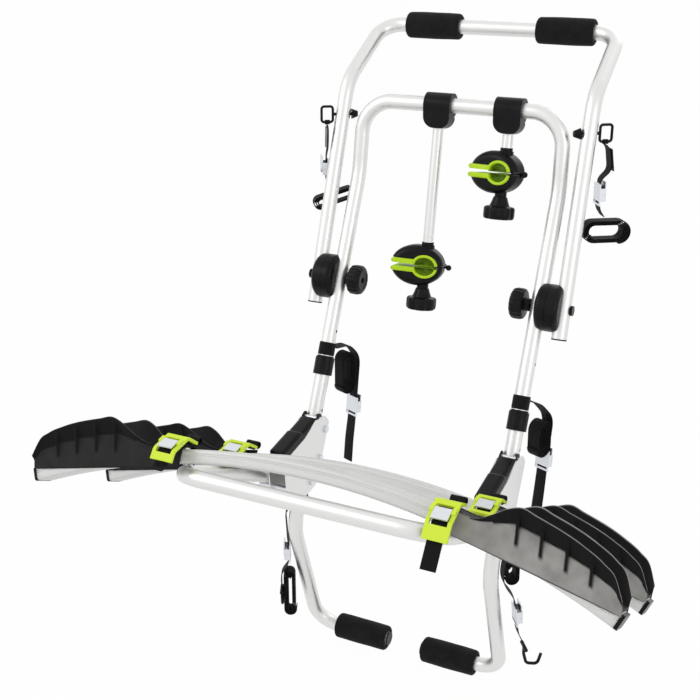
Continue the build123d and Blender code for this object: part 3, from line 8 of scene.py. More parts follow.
# %% Load the solid model
import math
import bpy
import numpy as np
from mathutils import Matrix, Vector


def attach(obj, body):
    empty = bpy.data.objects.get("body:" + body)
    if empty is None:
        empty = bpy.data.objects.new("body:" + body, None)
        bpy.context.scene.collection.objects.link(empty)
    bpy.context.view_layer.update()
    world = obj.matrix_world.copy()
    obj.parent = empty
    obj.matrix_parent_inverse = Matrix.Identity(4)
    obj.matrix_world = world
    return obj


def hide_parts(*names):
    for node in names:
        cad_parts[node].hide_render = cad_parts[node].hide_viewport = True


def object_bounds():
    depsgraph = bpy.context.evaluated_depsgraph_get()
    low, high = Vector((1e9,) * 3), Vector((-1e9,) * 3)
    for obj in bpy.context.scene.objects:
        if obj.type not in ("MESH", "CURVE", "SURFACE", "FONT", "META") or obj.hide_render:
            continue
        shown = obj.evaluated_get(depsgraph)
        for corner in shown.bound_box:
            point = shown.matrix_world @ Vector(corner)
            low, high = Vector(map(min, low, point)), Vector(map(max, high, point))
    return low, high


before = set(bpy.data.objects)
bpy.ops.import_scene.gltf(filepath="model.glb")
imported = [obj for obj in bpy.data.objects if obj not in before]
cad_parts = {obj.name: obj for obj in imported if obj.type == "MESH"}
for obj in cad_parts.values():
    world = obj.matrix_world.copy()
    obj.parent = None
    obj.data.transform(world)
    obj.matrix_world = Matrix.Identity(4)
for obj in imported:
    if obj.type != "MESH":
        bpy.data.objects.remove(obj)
solid_low, solid_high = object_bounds()
MM = 0.001
print("solid model, metres:", [round(value, 3) for value in solid_high - solid_low])

# %% [markdown]
# ## The camera
# The photograph was taken from the right of the carrier and a little above it. The camera's place was
# worked out from the straight tubes in the photograph, so here it only needs its numbers.

# %% Camera
lens_data = bpy.data.cameras.new("studio_camera")
lens_data.lens = 58.62
lens_data.sensor_width = 36.0
lens_data.clip_end = 200.0
camera = bpy.data.objects.new("studio_camera", lens_data)
camera.location = (0.75128, -1.79264, 1.37406)
camera.rotation_euler = (math.radians(69.128), 0.0, math.radians(26.054))
bpy.context.scene.collection.objects.link(camera)
bpy.context.scene.camera = camera

# %% [markdown]
# ## Floor, backdrop and light
# A catalogue picture is lit from all round and stands on white. The white is not made with strong
# lamps, which would wash out the tubes: rays that go straight to the camera, or bounce off metal, meet
# a backdrop that shines at exactly 1, while the light that falls on the object is kept lower. The floor
# mixes a pale surface with the same white glow, so that a faint shadow stays under the carrier.

# %% Node helpers for the studio
WHITE = (1.0, 1.0, 1.0, 1.0)


def joined(tree, operation, first, second):
    """One Math node on two amounts; either may be a plain number."""
    node = tree.nodes.new("ShaderNodeMath")
    node.operation = operation
    for socket, value in zip(node.inputs, (first, second)):
        if isinstance(value, (int, float)):
            socket.default_value = value
        else:
            tree.links.new(value, socket)
    return node.outputs[0]


def seen_rays(tree):
    """1 for rays sent out by the camera, a mirror or glass, 0 for rays of light on the object."""
    path = tree.nodes.new("ShaderNodeLightPath")
    eye_or_mirror = joined(tree, "MAXIMUM", path.outputs["Is Camera Ray"], path.outputs["Is Glossy Ray"])
    return joined(tree, "MAXIMUM", eye_or_mirror, path.outputs["Is Transmission Ray"])


def glowing(tree, kind, strength):
    """A Background or Emission node that shines white."""
    node = tree.nodes.new(kind)
    node.inputs["Color"].default_value = WHITE
    node.inputs["Strength"].default_value = strength
    return node


def lit_and_seen(tree, share, lit, seen, end):
    """Mixes what light on the object meets with what the eye meets, and wires the mix to the output."""
    mix = tree.nodes.new("ShaderNodeMixShader")
    tree.links.new(share, mix.inputs[0])
    tree.links.new(lit.outputs[0], mix.inputs[1])
    tree.links.new(seen.outputs[0], mix.inputs[2])
    tree.links.new(mix.outputs[0], tree.nodes.new(end).inputs["Surface"])


# %% The backdrop
AMBIENT_STRENGTH = 0.62
world = bpy.data.worlds.new("studio_white")
bpy.context.scene.world = world
world.use_nodes = True
sky = world.node_tree
sky.nodes.clear()
lit_and_seen(sky, seen_rays(sky), glowing(sky, "ShaderNodeBackground", AMBIENT_STRENGTH),
             glowing(sky, "ShaderNodeBackground", 1.0), "ShaderNodeOutputWorld")
print("backdrop nodes:", len(sky.nodes))

# %% The floor
FLOOR_HALF = 60.0
FLOOR_GAP = 0.0005
FLOOR_TONE = (0.86, 0.86, 0.86, 1.0)
FLOOR_GLOW = 0.975
floor_mesh = bpy.data.meshes.new("studio_floor")
corners = np.array([(-1, -1, 0), (1, -1, 0), (1, 1, 0), (-1, 1, 0)], float) * FLOOR_HALF
corners[:, 2] = solid_low.z - FLOOR_GAP
floor_mesh.from_pydata(corners.tolist(), [], [(0, 1, 2, 3)])
floor = bpy.data.objects.new("studio_floor", floor_mesh)
bpy.context.scene.collection.objects.link(floor)

pale = bpy.data.materials.new("pale_floor")
pale.use_nodes = True
ground = pale.node_tree
ground.nodes.clear()
paper = ground.nodes.new("ShaderNodeBsdfDiffuse")
paper.inputs["Color"].default_value = FLOOR_TONE
lit_and_seen(ground, joined(ground, "MULTIPLY", seen_rays(ground), FLOOR_GLOW), paper,
             glowing(ground, "ShaderNodeEmission", 1.0), "ShaderNodeOutputMaterial")
floor_mesh.materials.append(pale)
print("floor height, metres:", round(corners[0, 2], 4))

# %% [markdown]
# The lamps are large soft boxes, as in a studio: one high on the left of the camera, a weaker one on
# the right, and a strip behind that draws a bright edge along the tubes. The view transform is
# Standard, so that a colour comes out as it is written.

# %% Lamps
SOFT_BOXES = (("soft_box_left", (-2.6, -2.4, 3.0), 2.2, 44.0),
              ("soft_box_right", (3.0, -1.4, 1.8), 1.8, 14.0),
              ("soft_box_back", (0.4, 3.0, 2.6), 2.4, 18.0))
AIM = (0.0, 0.0, 0.5)


def aim_at(place, target):
    """Turn angles that point a lamp's -Z at the target: a tilt from straight down, then a heading."""
    away = np.array(target) - np.array(place)
    tilt = math.atan2(math.hypot(away[0], away[1]), -away[2])
    return tilt, 0.0, math.atan2(-away[0], away[1])


for name, place, size, power in SOFT_BOXES:
    lamp_data = bpy.data.lights.new(name, "AREA")
    lamp_data.size = size
    lamp_data.energy = power
    lamp = bpy.data.objects.new(name, lamp_data)
    lamp.location = place
    lamp.rotation_euler = aim_at(place, AIM)
    bpy.context.scene.collection.objects.link(lamp)
bpy.context.scene.view_settings.view_transform = "Standard"
print("lamps:", len(SOFT_BOXES))

# %% [markdown]
# ## Building finishes from nodes
# Every finish starts from a Principled surface. Fixed values are typed on its sockets, and only what
# really varies over the surface, such as tone, roughness and relief, is wired to nodes. The helpers
# below each make one such wire: a grain that is fixed to the object, a pair of tones, a pair of numbers
# and a relief.

# %% Helpers for finishes
def new_finish(name, metallic=0.0, specular=0.5, **constants):
    """A material with one Principled surface; constants are typed on its sockets."""
    material = bpy.data.materials.new(name)
    material.use_nodes = True
    tree = material.node_tree
    tree.nodes.clear()
    surface = tree.nodes.new("ShaderNodeBsdfPrincipled")
    surface.inputs["Metallic"].default_value = metallic
    surface.inputs["Specular IOR Level"].default_value = specular
    for socket, value in constants.items():
        surface.inputs[socket.replace("_", " ")].default_value = value
    output = tree.nodes.new("ShaderNodeOutputMaterial")
    tree.links.new(surface.outputs[0], output.inputs["Surface"])
    return material, tree, surface


def object_place(tree, stretch=(1.0, 1.0, 1.0)):
    """The point's own coordinates in metres, each multiplied by its stretch."""
    place = tree.nodes.new("ShaderNodeTexCoord")
    mapping = tree.nodes.new("ShaderNodeMapping")
    mapping.inputs["Scale"].default_value = stretch
    tree.links.new(place.outputs["Object"], mapping.inputs["Vector"])
    return mapping.outputs[0]


def grain(tree, scale, detail=3.0, stretch=(1.0, 1.0, 1.0)):
    """Soft noise with about `scale` blobs to the metre."""
    noise = tree.nodes.new("ShaderNodeTexNoise")
    noise.inputs["Scale"].default_value = scale
    noise.inputs["Detail"].default_value = detail
    tree.links.new(object_place(tree, stretch), noise.inputs["Vector"])
    return noise.outputs["Fac"]


def tones(tree, amount, low, high, start=0.3, end=0.7):
    """Blends two colours as the amount goes from start to end."""
    ramp = tree.nodes.new("ShaderNodeValToRGB")
    ramp.color_ramp.elements[0].position = start
    ramp.color_ramp.elements[0].color = (*low, 1.0)
    ramp.color_ramp.elements[1].position = end
    ramp.color_ramp.elements[1].color = (*high, 1.0)
    tree.links.new(amount, ramp.inputs[0])
    return ramp.outputs["Color"]


def numbers(tree, amount, low, high, start=0.3, end=0.7):
    """Blends two numbers as the amount goes from start to end."""
    spread = tree.nodes.new("ShaderNodeMapRange")
    spread.inputs["From Min"].default_value = start
    spread.inputs["From Max"].default_value = end
    spread.inputs["To Min"].default_value = low
    spread.inputs["To Max"].default_value = high
    tree.links.new(amount, spread.inputs["Value"])
    return spread.outputs[0]


def dress(tree, surface, colour, roughness):
    """Wires the two things that vary on every finish."""
    tree.links.new(colour, surface.inputs["Base Color"])
    tree.links.new(roughness, surface.inputs["Roughness"])


def relief(tree, surface, height, depth, strength=1.0):
    """Bumps the surface by a height from 0 to 1 that stands for `depth` metres."""
    bump = tree.nodes.new("ShaderNodeBump")
    bump.inputs["Strength"].default_value = strength
    bump.inputs["Distance"].default_value = depth
    tree.links.new(height, bump.inputs["Height"])
    tree.links.new(bump.outputs[0], surface.inputs["Normal"])


def own_number(tree, name):
    """A number that the mesh itself carries at each point, such as the distance along a strap."""
    attribute = tree.nodes.new("ShaderNodeAttribute")
    attribute.attribute_name = name
    return attribute.outputs["Fac"]


# %% [markdown]
# ## Extruded aluminium
# The bowed rails are extruded, so their grain runs along X. Metal that reflects nothing but white looks
# flat, so part of the tone is left to plain diffuse colour by keeping the metallic value below 1.

# %% Extruded rail aluminium
rail_aluminium, tree, surface = new_finish("rail_aluminium", metallic=0.15, specular=0.25)
drawn = grain(tree, 1.0, 3.0, (5.0, 260.0, 260.0))
dress(tree, surface, tones(tree, drawn, (0.70, 0.70, 0.69), (0.76, 0.76, 0.75)),
      numbers(tree, drawn, 0.40, 0.50))
relief(tree, surface, drawn, 0.00002, 0.2)

# %% [markdown]
# ## Plastics
# Moulded black plastic is never one flat black: the mould gives it a fine stipple that scatters light,
# and corners are polished by handling. The trays have a matte upper wall and a smooth glossy band below
# it, painted grey there as a reflection; the trays built further down carry a number that says where
# the band is, and the same number paints a highlight on their rims.

# %% Black moulded plastic
black_plastic, tree, surface = new_finish("black_plastic", specular=0.12)
dress(tree, surface, tones(tree, grain(tree, 40.0), (0.005, 0.005, 0.0055), (0.010, 0.010, 0.0105)),
      numbers(tree, grain(tree, 90.0), 0.24, 0.38))
relief(tree, surface, grain(tree, 1500.0, 2.0), 0.00006, 0.4)

# %% Tray plastic with a glossy lower band painted grey as a reflection
tray_plastic, tree, surface = new_finish("tray_plastic", specular=0.10)
gloss_and_painted_reflection = own_number(tree, "gloss_and_painted_reflection")
# Where the carried number is high the black turns mottled grey: a painted reflection on the band and a
# painted highlight on the rims.
mottled_painted_reflection = joined(tree, "MULTIPLY", gloss_and_painted_reflection, numbers(tree, grain(tree, 34.0, 5.0), 0.70, 1.05))
dress(tree, surface, tones(tree, mottled_painted_reflection, (0.005, 0.005, 0.0055), (0.40, 0.39, 0.375), 0.0, 1.0),
      numbers(tree, gloss_and_painted_reflection, 0.48, 0.26, 0.0, 1.0))
relief(tree, surface, grain(tree, 1300.0, 2.0), 0.00008, 0.4)

# %% [markdown]
# ## Foam and webbing
# The pads are closed-cell foam: matte, with pores about a millimetre across. The pores are cells of a
# Voronoi pattern, pressed in where a cell's centre is near. Webbing is woven in narrow diagonal ribs
# that turn back at the strap's middle line, which gives a herringbone. Each strap carries two numbers,
# the distance along it and the share across it, and the ribs are drawn in those, so that the weave
# follows every bend and fold.

# %% Black foam
black_foam, tree, surface = new_finish("black_foam", specular=0.10, Sheen_Weight=0.03, Sheen_Roughness=0.5)
pores = tree.nodes.new("ShaderNodeTexVoronoi")
pores.inputs["Scale"].default_value = 620.0
tree.links.new(object_place(tree), pores.inputs["Vector"])
pits = numbers(tree, pores.outputs["Distance"], 0.0, 1.0, 0.1, 0.6)
pitted = joined(tree, "MULTIPLY", pits, grain(tree, 50.0))
dress(tree, surface, tones(tree, pitted, (0.005, 0.005, 0.0055), (0.016, 0.016, 0.0165), 0.0, 0.6),
      numbers(tree, pits, 0.62, 0.86, 0.0, 1.0))
relief(tree, surface, pits, 0.00035, 0.7)

# %% Black webbing
RIBS_PER_METRE = 520.0
CHEVRON = 5.0
black_webbing, tree, surface = new_finish("black_webbing", specular=0.10, Sheen_Weight=0.05,
                                           Sheen_Roughness=0.4)
along = joined(tree, "MULTIPLY", own_number(tree, "along"), RIBS_PER_METRE)
slant = joined(tree, "MULTIPLY", joined(tree, "ABSOLUTE", own_number(tree, "across"), 0.0), CHEVRON)
wave = joined(tree, "SINE", joined(tree, "MULTIPLY", joined(tree, "ADD", along, slant), 2 * math.pi), 0.0)
yarn = numbers(tree, wave, 0.0, 1.0, -1.0, 1.0)
worn = joined(tree, "MULTIPLY", yarn, numbers(tree, grain(tree, 45.0), 0.55, 1.0))
dress(tree, surface, tones(tree, worn, (0.003, 0.003, 0.0035), (0.018, 0.018, 0.019), 0.0, 1.0),
      numbers(tree, yarn, 0.78, 0.55, 0.0, 1.0))
relief(tree, surface, yarn, 0.00035, 0.8)
print("finishes:", len(bpy.data.materials))

# %% [markdown]
# ## Solid parts whose shape is already right
# Tubes, plates, bolts and caps need no new shape. The solid model brings a plain material of its own
# for satin aluminium, zinc-plated steel and lime plastic. The parts listed below wear those as they
# come, without grain or relief, and every other solid part wears the black plastic made above.

# %% Finishes of the solid parts
CAMS = tuple(f"{place}_cam_{side}" for side in ("right", "left")
             for place in ("front_wheel", "rear_wheel", "lower_strap", "mid_strap", "upper_strap"))
PLAIN_MATERIALS = {
    "satin_aluminium": ("main_frame_tube", "lower_legs", "upper_frame_tube", "platform_hoop",
                        "fold_brackets", "long_arm_tube", "short_arm_tube"),
    "zinc_steel": ("bracket_bolts", "rail_bolts", "frame_strap_buckles", "upper_strap_buckles",
                   "long_clamp_rod", "short_clamp_rod") + CAMS,
    "lime_plastic": ("wheel_buckle_frames",),
}
plain = {node: bpy.data.materials[material] for material, nodes in PLAIN_MATERIALS.items()
         for node in nodes}
for name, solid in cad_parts.items():
    finish = plain.get(name, black_plastic)
    if not solid.material_slots:
        solid.data.materials.append(finish)
    for material_slot in solid.material_slots:
        material_slot.material = finish
print("solid parts with a finish:", len(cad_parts))

# %% [markdown]
# ## From a grid of points to a surface
# Each new piece is a grid: one direction runs along the piece and the other round it or across it. The
# helpers below turn such a grid into faces. A direction that closes on itself joins its last line
# to its first, and an open end is closed with one face. A closed surface encloses a volume that comes
# out positive when all its faces point outwards, so the sign of that volume says whether the faces must
# be turned round.

# %% Grid faces and outward check
def grid_faces(rows, columns, closed_rows):
    """Four-cornered faces of a grid whose columns close on themselves; rows close too if asked."""
    row = np.arange(rows if closed_rows else rows - 1)[:, None]
    column = np.arange(columns)[None, :]
    after = (column + 1) % columns
    below = (row + 1) % rows
    here, there = row * columns, below * columns
    return np.stack([here + column, here + after, there + after, there + column], -1).reshape(-1, 4)


def enclosed(points, quads):
    """Volume inside the faces: the sum of the tetrahedra that their triangles make with the origin."""
    a, b, c, d = (points[quads[:, index]] for index in range(4))
    boxes = np.einsum("ij,ij->i", a, np.cross(b, c)) + np.einsum("ij,ij->i", a, np.cross(c, d))
    return float(boxes.sum() / 6)


def surface_mesh(name, grids, finish, body, numbers_of=None, closed_rows=False):
    """One object from several grids in millimetres, each rows by columns by 3; open ends are closed."""
    points, faces, start = [], [], 0
    for grid in grids:
        rows, columns = grid.shape[:2]
        flat = grid.reshape(-1, 3)
        quads = grid_faces(rows, columns, closed_rows)
        middle = flat - flat.mean(axis=0)
        turned = enclosed(middle, quads) < 0
        quads = quads[:, ::-1] if turned else quads
        ends = []
        if not closed_rows:
            first = np.arange(columns)
            last = first + (rows - 1) * columns
            ends = [first if turned else first[::-1], last[::-1] if turned else last]
        points.append(flat)
        faces += (quads + start).tolist() + [(end + start).tolist() for end in ends]
        start += len(flat)
    mesh = bpy.data.meshes.new(name)
    mesh.from_pydata((np.vstack(points) * MM).tolist(), [], faces)
    mesh.materials.append(finish)
    for label, values in (numbers_of or {}).items():
        carried = mesh.attributes.new(label, "FLOAT", "POINT")
        joined_values = np.concatenate([value.ravel() for value in values])
        carried.data.foreach_set("value", joined_values.astype(np.float32))
    mesh.polygons.foreach_set("use_smooth", np.ones(len(mesh.polygons), bool))
    piece = bpy.data.objects.new(name, mesh)
    bpy.context.scene.collection.objects.link(piece)
    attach(piece, body)
    print(name, "points:", start)
    return piece


# %% [markdown]
# ## Axes of the carrier's parts
# The platform leans against the frame, the straps hang in upright planes and the clamps follow their
# arms. Each of these has its own axes. A shape is first worked out in its own axes and is then carried
# into the carrier's.

# %% Carrying local shapes into place
def full_turn(count):
    """Angles once round a circle, evenly apart, without the last."""
    return np.linspace(0, 2 * np.pi, count, endpoint=False)


def squared(wave, power):
    """A sine or cosine pushed towards -1 and 1, which turns a circle into a box with round corners."""
    return np.sign(wave) * np.abs(wave) ** power


def into_place(local, origin, x_axis, y_axis, z_axis):
    """Each local point becomes the origin plus x, y and z times the three axes."""
    return np.asarray(origin) + local @ np.array([x_axis, y_axis, z_axis], float)


TILT = math.radians(25.33)
PIVOT = (0.0, -54.8535, 352.0)
PLATFORM_AXES = (PIVOT, (1.0, 0.0, 0.0), (0.0, math.cos(TILT), -math.sin(TILT)),
                 (0.0, math.sin(TILT), math.cos(TILT)))

# %% [markdown]
# ## Foam grips
# The four grips are thick foam tubes pushed over the frame's bars. The photograph shows ends that are
# pressed in a little round the bar, and outer edges worn round. The shape is one closed loop in side
# view, from the bore out over the end, along the outside and back, carried once round the bar.

# %% Foam grips
PAD_LENGTH = 112.0
PAD_R = 25.0
PAD_BORE_R = 14.05
SHOULDER_R = 6.0
DISH_R = 17.0
DISH_DEPTHS = (3.2, 2.4, 1.0)
CROWN = 0.5


def foam_grip(centre, seed):
    """Radius and place along the bar as a closed loop: bore, dished end, round shoulder, slightly
    crowned side. Round the bar the radius gets a low swell of a few waves, as soft foam has."""
    half = PAD_LENGTH / 2
    shoulder = np.linspace(0, np.pi / 2, 9)
    side = np.linspace(-1, 1, 49)[1:-1]
    flat = half - SHOULDER_R
    right_along = np.concatenate([half - np.array(DISH_DEPTHS), flat + SHOULDER_R * np.cos(shoulder)])
    right_out = np.concatenate([[PAD_BORE_R, PAD_BORE_R + 1.0, DISH_R],
                                PAD_R - SHOULDER_R + SHOULDER_R * np.sin(shoulder)])
    along = np.concatenate([right_along, -side * flat, -right_along[::-1],
                            np.linspace(-1, 1, 9)[1:-1] * (half - 4)])
    crown = CROWN * (1 - side ** 2)
    out = np.concatenate([right_out, PAD_R + crown, right_out[::-1], np.full(7, PAD_BORE_R)])
    turn = full_turn(72)
    outer = np.clip((out[:, None] - DISH_R) / (PAD_R - DISH_R), 0, 1)
    swell = 0.22 * np.sin(3 * turn + seed) + 0.16 * np.sin(2 * turn + along[:, None] / 23 + 2 * seed)
    radius = out[:, None] + outer * (swell + 0.12 * np.sin(along[:, None] / 9 + 5 * turn + seed))
    grid = np.stack([np.broadcast_to(along[:, None], radius.shape), radius * np.cos(turn),
                     radius * np.sin(turn)], -1)
    return grid + np.asarray(centre, float)


GRIPS = {"lower_grip_right": ((95.0, 0.0, 0.0), "leg_pads", "main_frame"),
         "lower_grip_left": ((-95.0, 0.0, 0.0), "leg_pads", "main_frame"),
         "upper_grip_right": ((139.0, 393.9, 1168.6), "upper_pads", "upper_frame"),
         "upper_grip_left": ((-129.0, 393.9, 1168.6), "upper_pads", "upper_frame")}
for seed, (name, (centre, node, body)) in enumerate(GRIPS.items()):
    grip = surface_mesh(name, [foam_grip(centre, seed)], black_foam, body, closed_rows=True)
    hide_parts(node)

# %% [markdown]
# ## Lines for webbing
# A strap is a flat band that follows a line. The line is first drawn as straight runs, and its corners
# are then rounded: each corner is cut back and bridged by an arc that touches both runs. Last, the line
# is divided evenly, so that the weave and the mesh have the same scale everywhere.

# %% Rounded lines
def evenly(points, step):
    """The same line with its points `step` apart, read off at equal distances along it."""
    gone = np.concatenate([[0.0], np.cumsum(np.linalg.norm(np.diff(points, axis=0), axis=1))])
    wanted = np.linspace(0.0, gone[-1], max(3, int(gone[-1] / step) + 1))
    return np.stack([np.interp(wanted, gone, points[:, axis]) for axis in range(points.shape[1])], -1)


def rounded_line(corners, radii, step=1.6):
    """Straight runs joined by arcs. An arc starts radius times tan(half the turn) before its corner,
    and its centre is one radius from both runs."""
    corners = np.asarray(corners, float)
    parts = [corners[:1]]
    for before, corner, after, radius in zip(corners, corners[1:], corners[2:], radii):
        into = (corner - before) / np.linalg.norm(corner - before)
        onward = (after - corner) / np.linalg.norm(after - corner)
        turn = math.acos(np.clip(into @ onward, -1.0, 1.0))
        if turn < 0.01:
            continue
        inward = (onward - into * math.cos(turn)) / math.sin(turn)
        begin = corner - into * radius * math.tan(turn / 2)
        angles = np.linspace(0.0, turn, 12)[:, None]
        parts.append(begin + radius * (np.sin(angles) * into + (1 - np.cos(angles)) * inward))
    parts.append(corners[-1:])
    return evenly(np.vstack(parts), step)


def eased(points, reach):
    """Softens a line: each point becomes the mean of its neighbours within `reach`; the ends stay."""
    window = 2 * reach + 1
    before = 2 * points[:1] - points[reach:0:-1]
    after = 2 * points[-1:] - points[-2:-reach - 2:-1]
    total = np.cumsum(np.vstack([np.zeros((1, points.shape[1])), before, points, after]), axis=0)
    return (total[window:] - total[:-window]) / window


# %% [markdown]
# ## The band itself
# The band's section is a flat oval, a little thicker at its woven edges. At each point of the line the
# section's long axis lies across the strap and its short axis stands square to both the line and that.
# A slow twist keeps a hanging strap from looking like sheet metal.

# %% Webbing bands
STRAP_W = 25.0
STRAP_T = 1.6
BAND_SQUARENESS = (0.35, 0.5)
EDGE_SWELL = 0.12


def band(line, across, width=STRAP_W, thickness=STRAP_T, twist=None):
    """A squared-off oval section carried along a line in space; twist turns it about the line."""
    tangent = np.gradient(line, axis=0)
    tangent /= np.linalg.norm(tangent, axis=1)[:, None]
    side = np.broadcast_to(np.asarray(across, float), line.shape)
    side = side - (side * tangent).sum(axis=1)[:, None] * tangent
    side = side / np.linalg.norm(side, axis=1)[:, None]
    face = np.cross(side, tangent)
    if twist is not None:
        turned = side * np.cos(twist)[:, None] + face * np.sin(twist)[:, None]
        face = face * np.cos(twist)[:, None] - side * np.sin(twist)[:, None]
        side = turned
    angle = full_turn(28)
    wide = squared(np.cos(angle), BAND_SQUARENESS[0])
    thick = squared(np.sin(angle), BAND_SQUARENESS[1]) * (1 + EDGE_SWELL * wide ** 8)
    grid = (line[:, None] + side[:, None] * (wide * width / 2)[:, None]
            + face[:, None] * (thick * thickness / 2)[:, None])
    gone = np.concatenate([[0.0], np.cumsum(np.linalg.norm(np.diff(line, axis=0), axis=1))]) * MM
    along = np.broadcast_to(gone[:, None], grid.shape[:2])
    share = np.broadcast_to(wide[None, :], grid.shape[:2])
    return grid, along, share


def webbing_piece(name, bands, body, *nodes):
    """One object from several bands, each with its own distance along and share across."""
    grids, alongs, shares = zip(*bands)
    piece = surface_mesh(name, grids, black_webbing, body,
                         {"along": alongs, "across": shares})
    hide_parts(*nodes)
    return piece


# %% [markdown]
# ## Wheel straps
# Each wheel strap is fixed on its rail, passes behind its lime buckle and ends in a short tail. Its
# line is drawn in side view, as distance forward and height above the hoop's arms, behind the same
# corner points that the buckle itself has.

# %% Wheel straps
TUBE_R = 14.0
RAIL_YS = {"front": -395.0, "rear": -186.0}
RAIL_W = 44.0
RAIL_H = 24.0
RAIL_HALF_LENGTH = 500.0
RAIL_RISE = 104.0
RAIL_R = (RAIL_HALF_LENGTH ** 2 + RAIL_RISE ** 2) / (2 * RAIL_RISE)
ARM_X = 233.5
RAIL_TOP_Z = RAIL_R - math.sqrt((RAIL_R - RAIL_H / 2 - 0.1 - TUBE_R) ** 2 - ARM_X ** 2)
WHEEL_BUCKLE_X = 236.0
WHEEL_BUCKLES = {("front", "right"): ((22.0, 13.0), (-4.0, 14.5), (-31.0, -14.0), (-37.0, -42.0)),
                 ("front", "left"): ((30.0, 14.0), (0.0, 21.0), (-34.0, -2.0), (-38.0, -20.0)),
                 ("rear", "right"): ((28.0, 14.0), (-2.0, 19.0), (-30.0, 0.0), (-47.0, -7.0)),
                 ("rear", "left"): ((28.0, 14.0), (-2.0, 19.0), (-30.0, 0.0), (-47.0, -7.0))}
WHEEL_TAILS = {"right": (-6.0, -34.0), "left": (-13.0, -6.0)}
REAR_WHEEL_TAIL = (-13.0, -3.0)
BUCKLE_T = 5.0
STRAP_PAST = 8.0
WHEEL_SLACK = ((19.0, -3.0), (32.0, 2.0), (18.0, 12.0), (14.0, 4.0))
WHEEL_STRAP_RADII = (5, 5, 4, 5, 6, 8, 10)


def rail_height(x):
    """Height of the rail's middle line above the hoop's arms: a circle's drop away from its top."""
    return RAIL_TOP_Z - RAIL_R + np.sqrt(RAIL_R ** 2 - np.asarray(x, float) ** 2)


def beside(points, distance):
    """A line in side view moved sideways by a distance, with its corners mitred: at a corner the shift
    is the sum of both runs' normals, divided by one plus the cosine between them."""
    runs = np.diff(points, axis=0)
    runs /= np.linalg.norm(runs, axis=1)[:, None]
    normals = np.stack([-runs[:, 1], runs[:, 0]], -1)
    before = np.vstack([normals[:1], normals])
    after = np.vstack([normals, normals[-1:]])
    reach = distance / (1 + (before * after).sum(axis=1))
    return points + reach[:, None] * (before + after)


def wheel_strap(rail, side):
    """Corner points in side view: over the rail, under the buckle's mitred inner line and down to the
    tail."""
    top = float(rail_height(WHEEL_BUCKLE_X)) + RAIL_H / 2
    front = RAIL_YS[rail] - RAIL_W / 2
    buckle = np.array(WHEEL_BUCKLES[rail, side]) + (front, top)
    inner = beside(buckle, (BUCKLE_T + STRAP_T) / 2 + 0.3)
    leaving, arriving = inner[0] - inner[1], inner[-1] - inner[-2]
    back = inner[0] + leaving / np.linalg.norm(leaving) * STRAP_PAST
    past = inner[-1] + arriving / np.linalg.norm(arriving) * STRAP_PAST
    flick = REAR_WHEEL_TAIL if rail == "rear" else WHEEL_TAILS[side]
    slack = buckle[0] + np.array(WHEEL_SLACK)
    corners = np.vstack([slack, back[None], inner[1:-1], past[None], (past + flick)[None]])
    line = rounded_line(corners, WHEEL_STRAP_RADII)
    local = np.column_stack([np.full(len(line), WHEEL_BUCKLE_X), line])
    if side == "left":
        local[:, 0] *= -1
    return into_place(local, *PLATFORM_AXES)


wheel_bands = [band(wheel_strap(rail, side), (1.0, 0.0, 0.0)) for rail, side in WHEEL_BUCKLES]
webbing_piece("wheel_webbing", wheel_bands, "platform", "wheel_straps")

# %% [markdown]
# ## Tie-down straps
# Six straps hang from the frame. Each one is wrapped round its tube, hangs down past its zinc buckle,
# and has its spare length folded into a hank: one unbroken band that goes up and down in half turns of
# growing radius. The frame leans, so each strap is drawn in an upright plane that starts on its tube
# and faces away from it.

# %% Where the straps hang
MAIN_LEAN = math.radians(24.31)
UPPER_LEAN = math.radians(18.86)
PLAY = 0.3
RING_R = TUBE_R + PLAY + STRAP_T / 2
START = (TUBE_R + PLAY + STRAP_T + 2.0, -13.0)
EYE_START = (31.0, -20.0)
EYE_WIRE = (31.0, -15.0)
EYE_LOOP_R = 3.6
EYE_LOOP_W = 10.0
HANK_PITCH = 2.6
HANK_ASIDE = 1.3
TWIST = 0.10
MAIN_HALF_WIDTH = 200.0
MAIN_KINK = (194.5, 904.0)
HINGE_Z = 715.0
UPPER_KINK_Z = 1074.8
UPPER_HALF_WIDTHS = (246.0, 242.9)
UPPER_ANCHOR_Z = 1013.0


def on_main(side, z):
    """A point on the main frame's tube at a height."""
    return np.array([side * MAIN_HALF_WIDTH, MAIN_KINK[0] + math.tan(MAIN_LEAN) * (z - MAIN_KINK[1]), z])


def on_upper(side):
    """A point on the upper frame's tube, whose sides come closer together towards the top."""
    above = UPPER_ANCHOR_Z - HINGE_Z
    low, high = UPPER_HALF_WIDTHS
    x = low + above / (UPPER_KINK_Z - HINGE_Z) * (high - low)
    return np.array([side * x, on_main(1, HINGE_Z)[1] + math.tan(UPPER_LEAN) * above, UPPER_ANCHOR_Z])


